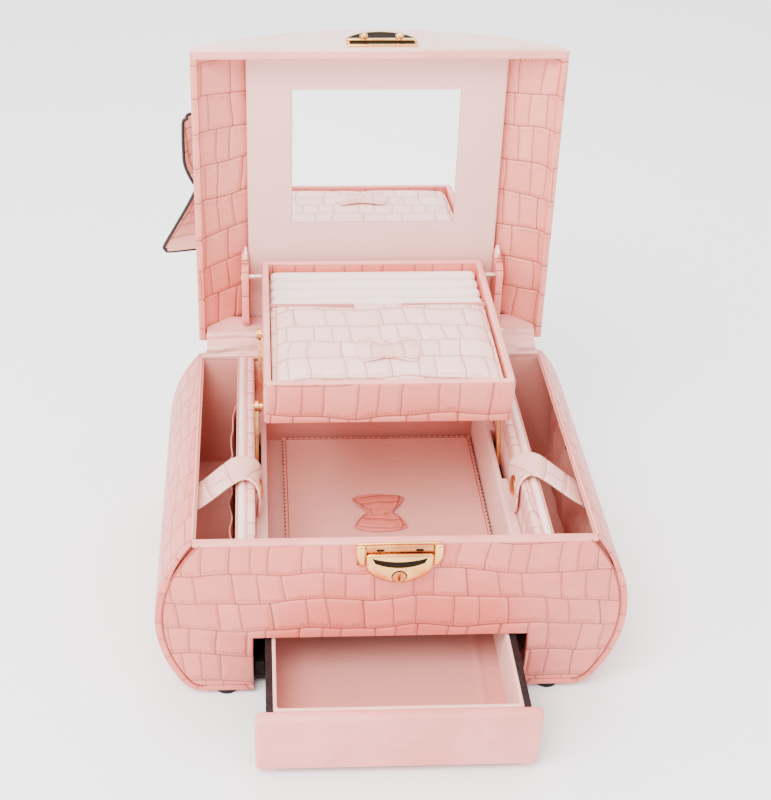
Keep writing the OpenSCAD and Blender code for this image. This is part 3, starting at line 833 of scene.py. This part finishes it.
def compartment_end(s, name):
    inner = [p for p in thinned(0.5) if p[1] > 25]
    outline = [(s * x, min(z, RIM_Z - 1.5)) for x, z in inner]
    outline += [(s * 75.8, 25), (s * 75.8, RIM_Z - 1.5)]
    for end, y0, y1 in (("front", -79.3, -78.2), ("rear", 78.2, 79.3)):
        obj = prism(f"{name}_compartment_{end}", outline, "y", y0, y1, 0.3, 2)
        piece(obj, "chest", VELVET)


both(compartment_end)


def liner(s, name):
    """The compartment's lining: outer wall, floor and the wall on the partition."""
    wall = [p for p in thinned(0.3) if p[1] > 24]
    inner = [p for p in thinned(1.6) if p[1] > 26]
    low, x = wall[-1], PART_OUT + 0.1
    outline = wall + [(low[0] - 0.4, 24), (x, 24), (x, RIM_Z - 1.2), (x + 1, RIM_Z - 1.2), (x + 1, 26)]
    outline += [(inner[-1][0] - 0.4, 26)] + inner[::-1]
    outline = [(s * a, min(b, RIM_Z - 0.9)) for a, b in outline]
    obj = prism(f"{name}_liner_cloth", outline, "y", -78.6, 78.6, 0.2, 1)
    piece(obj, "chest", VELVET, f"{name}_liner")


both(liner)
keep(BLACK, "base_board", "bay_roof", "drawer_rails")
keep(RUBBER, "feet")
well_floor = board("well_floor", (-60.4, -78.6, FLOOR_Z - 0.2), (60.4, 78.2, FLOOR_Z + 0.5), 0.2, 1)
piece(well_floor, "chest", FABRIC)


def pocket_right(s, t):
    """A gathered pocket along the outer wall: s runs front to back, t bottom to top."""
    y = -72 + 144 * s
    z = 30 + 46 * t
    wall = BULGE_X + math.sqrt((BULGE_R - 5.0) ** 2 - (z - BULGE_Z) ** 2)
    ends = math.sin(math.pi * s) ** 0.35
    belly = 9.0 * math.sin(math.pi * min(1, t * 0.92 + 0.08)) * ends
    folds = 2.4 * math.sin(s * 31 + 1.3 * math.sin(s * 9) + 1.1 * t) * (0.35 + 0.65 * t) * ends
    folds += 0.6 * math.sin(s * 57 + 2.0 * t) * t * ends
    rough = 1.6 * noise.noise(Vector((s * 9, t * 4, 3.1)))
    return wall - 1.4 - belly * 0.9 - max(-2.0, folds) * 0.8 - abs(rough), y, z - 3.0 * (1 - ends)


def pocket_left(s, t):
    """A shallow pocket along the partition, with its mouth gathered by elastic."""
    y = -72 + 130 * s
    z = 34 + 46 * t
    ends = math.sin(math.pi * s) ** 0.3
    folds = 0.7 * math.sin(s * 44 + 0.8 * math.sin(s * 12)) * (0.25 + 0.75 * t) * ends
    lean = 2.2 * t * ends
    rough = 0.9 * noise.noise(Vector((s * 8, t * 3, 7.7)))
    return -(76.9 + lean + folds * 0.8 + abs(rough)), y, z + 0.6 * math.sin(s * 44) * t


def pocket(name, point, rows, side):
    """A gathered sheet of cloth 0.6 mm thick."""
    obj = surface(name, point, 120, rows)
    thicken(obj, 0.6)
    piece(smooth(obj, 60), "chest", VELVET, f"{side}_pocket")


pocket("pocket_gathered", pocket_right, 30, "right")
pocket("pocket_elastic", pocket_left, 24, "left")


def pinked(x0, y0, x1, y1, pitch, depth):
    """A rectangle with a zigzag edge."""
    corners = [(x0, y0), (x1, y0), (x1, y1), (x0, y1)]
    points = []
    for k in range(4):
        a, b = Vector(corners[k]), Vector(corners[(k + 1) % 4])
        side = (b - a).normalized()
        out = Vector((side.y, -side.x))
        n = max(2, int((b - a).length / pitch))
        for i in range(n):
            points.append(a.lerp(b, i / n) - out * (depth if i else 0))
            points.append(a.lerp(b, (i + 0.5) / n))
    return [(p.x, p.y) for p in points]


MAT_TOP = 46.0
mat = prism("well_mat_top", pinked(-51.2, -76.5, 59.8, 74.2, 3.2, 1.5), "z", 44.9, MAT_TOP, 0.15, 1)
piece(mat, "mat", MAT, "floor_mat")
# A dark board under the mat, seen between its pinked teeth as painted shade in the gaps.
piece(board("well_mat_shade_core", (-51.1, -76.4, 42.6), (59.7, 74.1, 44.95), 0.4, 2), "mat", MAT_GAP_SHADE)
corners = [(-48.9, -74.1), (57.5, -74.1), (57.5, 71.9), (-48.9, 71.9)]
seam = tube("well_mat_seam", [(x, y, MAT_TOP) for x, y in corners], 0.3, 6, True)
piece(seam, "mat", CROC_BOW)


def bow(name, centre, across, along, pinch, thickness, body, material, turn, nodes=(), lift_z=1.4):
    """A leather bow tab: two rounded, flared lobes gathered in a knot. turn points along it."""
    ca, sa = math.cos(turn), math.sin(turn)

    def lobe_point(sign):
        def point(s, t):
            d = s * along / 2
            flare = pinch + (across / 2 - pinch) * (1 - (1 - s) ** 1.8)
            corner = flare * (1 - max(0.0, (s - 0.8) / 0.2) ** 3 * 0.2)
            w = (2 * t - 1) * corner
            bulge = lift_z * math.sin(math.pi * min(1, s * 0.9 + 0.1)) * (1 - 0.6 * (2 * t - 1) ** 2)
            fold = 0.5 * math.cos((2 * t - 1) * 7) * (1 - s)
            d2 = d - 0.12 * along / 2 * s * (2 * t - 1) ** 2
            return (
                centre[0] + sign * d2 * ca - w * sa,
                centre[1] + sign * d2 * sa + w * ca,
                centre[2] + 0.7 + bulge + fold,
            )

        return point

    for sign, label in ((1, "a"), (-1, "b")):
        obj = surface(f"{name}_lobe_{label}", lobe_point(sign), 16, 16, thickness)
        apply_modifier(obj, "SUBSURF", levels=1)
        piece(smooth(obj, 70), body, material)
    knot_path = [
        (centre[0] - w * sa, centre[1] + w * ca, centre[2] + 0.9 + 1.4 * math.cos(w / (pinch + 1.2) * 1.5))
        for w in np.linspace(-pinch - 1.1, pinch + 1.1, 13)
    ]
    knot = ribbon(f"{name}_knot", knot_path, [4.6] * 13, 0.9, (ca, sa, 0))
    piece(knot, body, material, *nodes)


bow("mat_bow_tab", (0.7, 3.0, MAT_TOP), 29, 32, 6.5, 0.9, "mat", CROC_BOW, math.pi / 2, ["mat_bow"])

# ---------- straps ----------


def strap(s, name):
    """One strap: from the side wall over the partition, then down beside the well."""
    line = [
        (98.6, -37.6, 88.6), (96.4, -37.2, 90.6), (93.6, -36.4, 92.2), (90.0, -35.0, 94.3),
        (86.0, -33.0, 96.6), (82.0, -31.0, 98.9), (78.5, -29.4, 100.6), (76.0, -28.3, 101.5),
        (73.5, -27.6, 101.9), (71.0, -27.6, 101.8), (68.5, -28.4, 101.2), (66.4, -29.6, 99.7),
        (65.0, -30.8, 97.4), (64.4, -32.0, 94.4), (64.3, -33.2, 91.0), (64.4, -34.2, 87.6),
        (64.6, -35.0, 84.4), (64.8, -35.6, 81.8), (64.9, -35.9, 80.0), (65.0, -36.0, 79.0),
    ]
    widths = [20.0] * 15 + [19.0, 16.5, 12.0, 7.0, 3.0]
    path, wide = [], []
    for k in range(len(line) - 1):
        for f in (0.0, 0.5):
            p = Vector(line[k]).lerp(Vector(line[k + 1]), f)
            path.append((s * p.x, p.y, p.z))
            wide.append(widths[k] * (1 - f) + widths[k + 1] * f)
    obj = ribbon(f"{name}_strap_band", path, wide, 1.3, (0, 1, 0))
    piece(obj, None, CROC_STRAP, f"{name}_strap", "strap_bridges")
    start, end = (s * 0.0676, -0.031, 0.1014), (s * 0.0648, -0.031, 0.0982)
    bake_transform(obj)
    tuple(start)
    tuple(end)
    cap = [(0, 1.1), (2.6, 1.05), (4.1, 0.85), (5.0, 0.45), (5.3, 0.0), (4.8, -0.3), (0, -0.3)]
    snap = lathe(f"{name}_snap_cap", cap, (s * 63.7, -32.6, 92.6), (-s, 0.0, 0.1))
    piece(snap, f"strap_{name}", GOLD, f"{name}_snap")


both(strap)
keep(GOLD, "snap_sockets")

# ---------- lock ----------


LUG_X, NOTCH_X = 18.4, 9.3
KEY_Z = LOCK_TOP - 16.5
CASE_LOW, CASE_HIGH, CASE_HALF, CASE_SAG = 86.4, 95.6, 15.9, 8.2
DOWN = -math.pi / 2
case_r = (CASE_HALF**2 + CASE_SAG**2) / (2 * CASE_SAG)
half_angle = math.asin(CASE_HALF / case_r)
case_outline = arc(
    LOCK_X, CASE_LOW - CASE_SAG + case_r, case_r, DOWN - half_angle, DOWN + half_angle, 28
)
case_outline += [(LOCK_X + CASE_HALF, CASE_HIGH), (LOCK_X - CASE_HALF, CASE_HIGH)]
case = prism("lock_cover", case_outline, "y", FRONT - 5.4, FRONT - 1, 1.9, 6)
# A smile-shaped slot between a lower arc and an upper one, by centre height, radius and half angle.
smile_outline = arc(LOCK_X, 129.3, 37.5, DOWN - 0.3597, DOWN + 0.3597, 20)
smile_outline += arc(LOCK_X, 113.55, 25.45, DOWN + 0.4822, DOWN - 0.4822, 20)
case = cut(case, prism("smile_tool", smile_outline, "y", FRONT - 8, FRONT - 4.5, 0, 1))
bore = [(0, -4), (3.8, -4), (3.8, 5), (0, 5)]
barrel = lathe("barrel_tool", bore, (LOCK_X, FRONT - 6, KEY_Z), (0, 1, 0))
piece(cut(case, barrel), "chest", GOLD, "lock_case")
# A dark plate behind the smile slot: painted shade in the slot.
slot_floor = prism("lock_slot_floor", smile_outline, "y", FRONT - 4.8, FRONT - 4.2, 0.1, 1)
piece(slot_floor, "chest", HOLLOW_SHADE)
low, high = (LOCK_X - 20.3, FRONT - 1.3, LOCK_TOP - 13), (LOCK_X + 20.3, FRONT + 0.3, LOCK_TOP + 0.5)
piece(board("lock_back_plate", low, high, 0.5), "chest", GOLD, "lock_plate")
low, high = (LOCK_X - 16, FRONT - 3.4, CASE_HIGH + 0.3), (LOCK_X + 16, FRONT - 1, LOCK_TOP + 0.3)
piece(board("lock_top_band", low, high, 0.7, 4), "chest", COPPER)
# A dark ring in the gap round the key barrel: painted shade in the gap.
gap = [(3.35, 0), (3.35, 0.4), (3.9, 0.4), (3.9, 0)]
barrel_gap = lathe("lock_barrel_gap", gap, (LOCK_X, FRONT - 3, KEY_Z), (0, -1, 0))
piece(barrel_gap, "chest", HOLLOW_SHADE)


def lock_lug(s, name):
    x = LOCK_X + s * LUG_X
    low = LOCK_TOP - 10.5
    outline = arc(x - s * 0.8, low, 1.5, math.pi, 2 * math.pi, 10)
    tip = [(x + s * 2.2, low + 3.5), (x + s * 2.2, LOCK_TOP + 0.4), (x - s * 1.9, LOCK_TOP + 0.4)]
    outline += tip[::s]
    piece(prism(f"lock_lug_{name}", outline, "y", FRONT - 3.8, FRONT - 1, 0.9, 4), "chest", GOLD)
    x = LOCK_X + s * NOTCH_X
    # Dark notches in the top band: painted shade in these recesses.
    notch = rounded_rect(x - 1.9, 96.7, x + 1.9, 98.1, 0.65)
    piece(prism(f"lock_notch_{name}", notch, "y", FRONT - 3.5, FRONT - 3.2, 0, 1), "chest", HOLLOW_SHADE)


both(lock_lug)
keep(COPPER, "lock_cylinder")

# ---------- hinges ----------

keep(GOLD, "body_hinge_leaves", "hinge_pins", "lid_hinge_leaves")
keep(GOLD, "link_posts", "post_pins", "link_rivets", "left_link", "right_link")
keep(STEEL, "lift_pins")
screw = [(0, 0.55), (1.0, 0.5), (1.7, 0.15), (1.8, -0.2), (0, -0.2)]
for x in (-70, -60, -50, 50, 60, 70):
    for leaf, body, z in (("body", "chest", RIM_Z - 8), ("lid", "lid", LID_Z + 11)):
        head = lathe(f"hinge_screw_{leaf}_{x}", screw, (x, REAR + 1.1, z), (0, 1, 0), 20)
        piece(head, body, GOLD)


def lining(s, t):
    """Satin from the body's rear wall over the hinge gap to the lid's rear panel: t goes up."""
    x = (2 * s - 1) * (96.0 - 3.0 * min(1.0, t * 3))
    path = [
        (78.4, 98.4),
        (78.2, 100.4),
        (79.6, 103.2),
        (81.6, 106.2),
        (84.4, 108.6),
        (86.2, 111.2),
        (92.0, 111.6),
        (100.5, 112.6),
    ]
    k = t * (len(path) - 1)
    i = min(int(k), len(path) - 2)
    f = k - i
    f = f * f * (3 - 2 * f) * 0.3 + f * 0.7
    y = path[i][0] * (1 - f) + path[i + 1][0] * f
    z = path[i][1] * (1 - f) + path[i + 1][1] * f
    amount = math.sin(math.pi * min(1.0, max(0.0, (t - 0.04) / 0.8)))
    wave = noise.noise(Vector((x * 0.045, t * 2.2, 1.7)))
    wave += 0.5 * noise.noise(Vector((x * 0.11, t * 7.0, 5.1)))
    fold = math.sin(t * 21 + 1.5 * wave) * 0.8
    return x, y - amount * (1.6 * wave + fold), z + amount * (1.0 * wave + 0.5 * fold)


satin_sheet = surface("hinge_satin", lining, 150, 60)
thicken(satin_sheet, 0.5)
piece(smooth(satin_sheet, 60), None, SATIN, "hinge_lining")
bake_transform(satin_sheet)

# ---------- drawer ----------

y0 = FRONT - DRAWER_OUT
x1, z0, z1 = BAY_X - 0.5, BASE_Z + 1.2, BAY_TOP - 0.5
face = board("drawer_face", (-x1, y0, z0), (x1, y0 + 7, z1), 2.4, 6)
piece(face, "drawer", FACE, "drawer_front")
DRAWER_LEN = 142
d0, d1 = y0 + 7, y0 + 7 + DRAWER_LEN
outside = rounded_rect(-62.5, d0, 62.5, d1, 0.8)
inside = rounded_rect(-59.1, d0 + 0.3, 59.1, d1 - 3.4, 0.8)
shell = ring("drawer_shell", outside, inside, 6.6, BAY_TOP - 1.6, 0.5)
piece(shell, "drawer", BLACK, "drawer_box")
outside = rounded_rect(-59.1, d0 - 0.2, 59.1, d1 - 3.4, 0.8)
inside = rounded_rect(-57.3, d0 + 1.8, 57.3, d1 - 5.2, 1.6)
piece(ring("drawer_lining", outside, inside, 8.2, BAY_TOP - 1.0, 0.75, 4), "drawer", FABRIC)
base = board("drawer_base", (-61.5, d0 + 0.2, 6.5), (61.5, d1 - 0.5, 8.1), 0.3, 1)
piece(base, "drawer", BLACK, "drawer_bottom")


def drawer_floor(s, t):
    x = -57.6 + 115.2 * s
    y = d0 + 1.6 + (d1 - d0 - 6.4) * t
    fold = 0.7 * math.exp(-(((x - 46 - 1.5 * t) / 1.8) ** 2))
    return x, y, 9.9 + fold + 0.25 * noise.noise(Vector((x * 0.05, y * 0.05, 0.4)))


floor_cloth = surface("drawer_floor_velvet", drawer_floor, 110, 60)
thicken(floor_cloth, 0.8)
piece(smooth(floor_cloth, 60), "drawer", FLOCK, "drawer_pad")
thread = [
    (37 + 0.4 * math.sin(k * 1.3), -73.0 + 0.1 * k, BAY_TOP + 0.6 - 1.6 * k) for k in range(6)
]
piece(tube("stop_thread", thread, 0.7, 8), "chest", THREAD)

# ---------- lid ----------

outer, inner = lid_side(0), lid_side(SKIN)
vault_outline = outer + flipped(outer)[1:] + flipped(inner)[::-1] + inner[::-1][1:]
vault = prism("lid_vault_skin", vault_outline, "y", FRONT, REAR, 1.2, 4)
piece(vault, "lid", CROC_LID, "lid_vault", uv=on_vault)


def lid_end_outline(inset):
    return lid_side(inset) + flipped(lid_side(inset))[1:]


lid_face = prism("lid_front_face", lid_end_outline(0.35), "y", FRONT - 0.7, FRONT + PANEL, 1.6, 5)
piece(lid_face, "lid", PALE, "lid_front")
lid_back = prism("lid_rear_skin", lid_end_outline(SKIN + 0.2), "y", REAR - PANEL, REAR + 0.1, 0.9)
piece(lid_back, "lid", CROC_LID, "lid_rear", uv=on_faces)


def lid_rim(s, name):
    low, high = (s * 94.3, FRONT + 2, LID_Z - 0.1), (s * 97.6, REAR - 1, LID_Z + 2.0)
    obj = board(f"lid_rim_{name}", low, high, 0.9, 4)
    piece(obj, "lid", CROC_LID, uv=lambda co, n: (co.x, co.y))


both(lid_rim)
low, high = (-96.5, FRONT - 0.8, LID_Z - 0.2), (96.5, FRONT + PANEL + 0.3, LID_Z + 2.2)
piece(board("lid_rim_front", low, high, 1.0, 4), "lid", SMOOTH)

mount = board("mirror_backboard", (-BOARD_X, -INSIDE_Y, BOARD_Z), (BOARD_X, 76.2, BOARD_Z + 4), 1.2, 4)
MIRROR_X, MIRROR_HALF, MIRROR_Y = 45.0, 38, HINGE_Y - 108


def mirror_box(name, inset, z0, z1, bevel):
    x, half = MIRROR_X - inset, MIRROR_HALF - inset
    return board(name, (-x, MIRROR_Y - half, z0), (x, MIRROR_Y + half, z1), bevel, 1)


window = mirror_box("window_tool", 0, BOARD_Z - 3, BOARD_Z + 2.0, 0)
piece(cut(mount, window), "lid", FABRIC, "mirror_board")
glass = mirror_box("mirror_pane", 0.1, BOARD_Z + 0.7, BOARD_Z + 1.9, 0.15)
piece(glass, "lid", GLASS, "mirror_glass")

LIFT_R, LIFT_A = 42, math.radians(9 - LID_OPEN)
pin = (HINGE_Y + LIFT_R * math.sin(LIFT_A), HINGE_Z + LIFT_R * math.cos(LIFT_A))
CHEEK_LOW = RIM_Z + 1.6


def cheek(s, name):
    y, z = pin
    outline = [(75.3, CHEEK_LOW + 3), (71.3, CHEEK_LOW), (y, CHEEK_LOW)]
    outline += arc(y - 1, CHEEK_LOW + 6, 6, math.radians(270), math.radians(150), 12)
    outline += [(y - 11, BOARD_Z + 1), (y - 11, BOARD_Z + 2), (75.3, BOARD_Z + 2)]
    lo, hi = sorted((s * (BOARD_X - 0.1), s * (BOARD_X + 3.9)))
    obj = prism(f"cheek_{name}", outline, "x", lo, hi, 1.2, 4)
    nodes = ["cheeks"] if s > 0 else []
    piece(obj, "lid", CROC_LID, *nodes, uv=lambda co, n: (co.z, co.y))
    path = [
        (s * (BOARD_X + 1.5), y - 11.0 + 3.0 * math.cos(a), BOARD_Z - 2.4 + 3.0 * math.sin(a))
        for a in np.linspace(-0.2, 4.9, 14)
    ]
    piece(tube(f"cheek_hook_{name}", path, 0.85, 10), "lid", PALE)
    head = [(0, 1.0), (1.6, 0.9), (2.4, 0.4), (2.6, 0.0)]
    rivet = lathe(f"cheek_rivet_{name}", head, (s * (BOARD_X + 3.9), y, z), (s, 0, 0), 24)
    piece(rivet, "lid", GOLD)


both(cheek)

# ---------- lid catch ----------

CATCH_HALF, CATCH_R, CATCH_TOP = 18.5, 20.3, LID_Z + 30


def catch_outline(inset):
    """Straight sides and an arched top, on the lid's front face."""
    half, r = CATCH_HALF - inset, CATCH_R - inset
    a = math.asin(half / r)
    top = arc(LOCK_X, CATCH_TOP - CATCH_R, r, math.pi / 2 - a, math.pi / 2 + a, 24)
    return [(LOCK_X - half, LID_Z + 5 + inset), (LOCK_X + half, LID_Z + 5 + inset)] + top


plate = prism("catch_plate", catch_outline(0), "y", FRONT - 2.0, FRONT - 0.5, 0.5)
plate = cut(plate, prism("catch_tool", catch_outline(1.5), "y", FRONT - 3, FRONT - 1.5, 0, 1))
piece(plate, "lid", GOLD, "lid_catch")
# A dark plate inside the catch's rim: painted shade in its hollow.
floor = prism("catch_floor", catch_outline(1.5), "y", FRONT - 1.6, FRONT - 1.3, 0, 1)
piece(floor, "lid", HOLLOW_SHADE)
low, high = (LOCK_X - 18.2, FRONT - 3.2, LID_Z + 11.4), (LOCK_X + 18.2, FRONT - 1.3, LID_Z + 14)
piece(board("catch_bar", low, high, 0.7, 4), "lid", GOLD)
for k, s in enumerate((-1, 1)):
    stud = lathe(
        f"catch_stud_{k}",
        [(0, 3.0), (1.3, 2.8), (2.1, 2.1), (2.3, 1.2), (1.6, 0.5), (1.6, 0.0), (2.4, -0.2)],
        (LOCK_X + s * NOTCH_X, FRONT - 3.0, LID_Z + 13.2),
        (0, -1, 0),
        28,
    )
    piece(stud, "lid", GOLD, *(["catch_studs"] if k else []))

# ---------- bow on the lid's shoulder ----------


def vault_z(x):
    return LID_Z + CROWN_Z + math.sqrt(CROWN_R**2 - x * x)


BOW_Y = -5.0


def wing(upper):
    """One lobe of the bow, from the knot outwards along the lid: t goes from crown to side."""

    def point(s, t):
        grow = math.sin(min(1.0, s * 1.15) * math.pi / 2)
        x = -86.5 + 12 * grow
        inner = Vector((x, 0, vault_z(x) + 2.2))
        flare = 5.0 * math.sin(min(1.0, s * 2.6) * math.pi / 2) if upper else 20.5 * s**1.1
        outer = Vector((-97.9 - flare, 0, LID_Z + 11))
        p = inner.lerp(outer, t)
        loop = math.sin(math.pi * min(1.0, 0.12 + s * 0.8))
        loop *= math.sin(math.pi * min(1, t * 0.9 + 0.05))
        p.z += 5.5 * loop + 2.0 * s + 0.9 * math.cos(t * 9) * (1 - s)
        p.x -= 1.5 * loop
        reach = 39 + 1.5 * t if upper else 41 - 1.5 * t
        corner = (s * t) ** 20
        p.x += (2.2 if upper else 3.5) * corner
        reach -= 2.5 * corner + 2.5 * (s * (1 - t)) ** 8
        p.y = BOW_Y + (-1 if upper else 1) * (2.5 + (reach - 2.5) * s)
        return p

    return point


for label in ("upper", "lower"):
    point = wing(label == "upper")
    obj = surface(f"lid_bow_{label}", point, 28, 28, 1.5)
    nodes = ["lid_bow"] if label == "upper" else []
    piece(smooth(obj, 70), "lid", CROC_BAND, *nodes)
    n = 28
    border = [point(i / n, 0) for i in range(n + 1)]
    border += [point(1, j / n) for j in range(1, n + 1)]
    border += [point(1 - i / n, 1) for i in range(1, n + 1)]
    piece(tube(f"lid_bow_edge_{label}", border, 0.9, 10), "lid", EDGE)
knot_path = []
for w in np.linspace(-1, 1, 15):
    x = -90 - 7.5 * w
    knot_path.append((x, BOW_Y, vault_z(-90) - 4.5 * w + 2.5 + 5.0 * math.cos(w * 1.5)))
knot = ribbon("lid_bow_knot", knot_path, [8.0] * 15, 1.6, (0, 1, 0))
piece(knot, "lid", CROC_BAND, "bow_knot")

# ---------- tray ----------

t1 = TRAY_Y + TRAY_D


def tray_outline(inset, r):
    return rounded_rect(-TRAY_X + inset, TRAY_Y + inset, TRAY_X - inset, t1 - inset, r)


walls = ring("tray_walls", tray_outline(0, 2.6), tray_outline(3.4, 1.0), TRAY_Z, TRAY_TOP, 1.1, 4)
piece(walls, "tray", CROC_TRAY, "tray_box", uv=on_faces)
z0, z1 = TRAY_TOP - 1.4, TRAY_TOP + 0.35
rim = ring("tray_rim", tray_outline(0.5, 2.2), tray_outline(3.7, 0.9), z0, z1, 0.7, 4)
piece(rim, "tray", SMOOTH)
base = board("tray_base", (-60.6, TRAY_Y + 1.4, TRAY_Z + 0.1), (60.6, t1 - 1.4, TRAY_Z + 2), 0.5)
piece(base, "tray", CROC_TRAY, uv=on_faces)
low, high = (-58.4, DIVIDER_Y - 0.2, TRAY_Z + 2), (58.4, DIVIDER_Y + 2.2, TRAY_TOP - 12)
piece(board("tray_divider", low, high, 0.9, 4), "tray", FABRIC)
low, high = (-57.8, TRAY_Y + 3.9, TRAY_Z + 2), (57.8, DIVIDER_Y - 0.6, TRAY_Z + 3.5)
piece(board("tray_floor_velvet", low, high, 0.5), "tray", VELVET, "tray_floor")

ry0, ry1 = DIVIDER_Y - 0.1, t1 - 3.8
pitch = (ry1 - ry0) / 4


def ring_roll(k):
    core = []
    y = ry0 + (k + 0.5) * pitch
    for a in np.linspace(0, 2 * math.pi, 25)[:-1]:
        core.append((y + pitch * 0.46 * math.cos(a), TRAY_TOP - 8.4 + 5.4 * math.sin(a)))
    obj = prism(f"ring_roll_{k}", core, "x", -57.2, 57.2, 1.2, 3)
    puff(obj, 1.9, 0.7, 3.0)
    piece(obj, "tray", ROLL, *(["ring_rolls"] if k == 0 else []))


for k in range(4):
    ring_roll(k)
bed = board("ring_bed", (-57.9, ry0 - 0.4, TRAY_Z + 2), (57.9, ry1 + 0.2, TRAY_TOP - 10), 0.6)
piece(bed, "tray", ROLL)

# ---------- tray cover ----------

cover_top = TRAY_TOP - 1.3
low, high = (-56.6, TRAY_Y + 5.0, cover_top - 4.4), (56.6, DIVIDER_Y - 2.8, cover_top - 0.6)
cover = board("cover_pad", low, high, 1.8, 4)
puff(cover, 2.2, 2.0, 4.0)
piece(cover, "cover", CROC_COVER, "tray_cover", uv=lambda co, n: (co.x, co.y))
low, high = (-57.6, TRAY_Y + 4.1, cover_top - 5.2), (57.6, DIVIDER_Y - 4.4, cover_top - 3.0)
piece(board("cover_board", low, high, 0.9, 4), "cover", CROC_COVER, uv=on_faces)
low, high = (-56.8, DIVIDER_Y - 5.6, cover_top - 3.8), (56.8, DIVIDER_Y - 0.7, cover_top - 1.8)
piece(board("cover_fold", low, high, 0.9, 4), "cover", CROC_COVER, uv=on_faces)
centre = (1.0, 6.0, cover_top + 0.9)
bow("cover_bow_tab", centre, 23, 33, 7.0, 1.2, "cover", CROC_STRAP, 0.0, ["cover_bow"], 1.3)
keep(CROC_COVER, "cover_hinge")
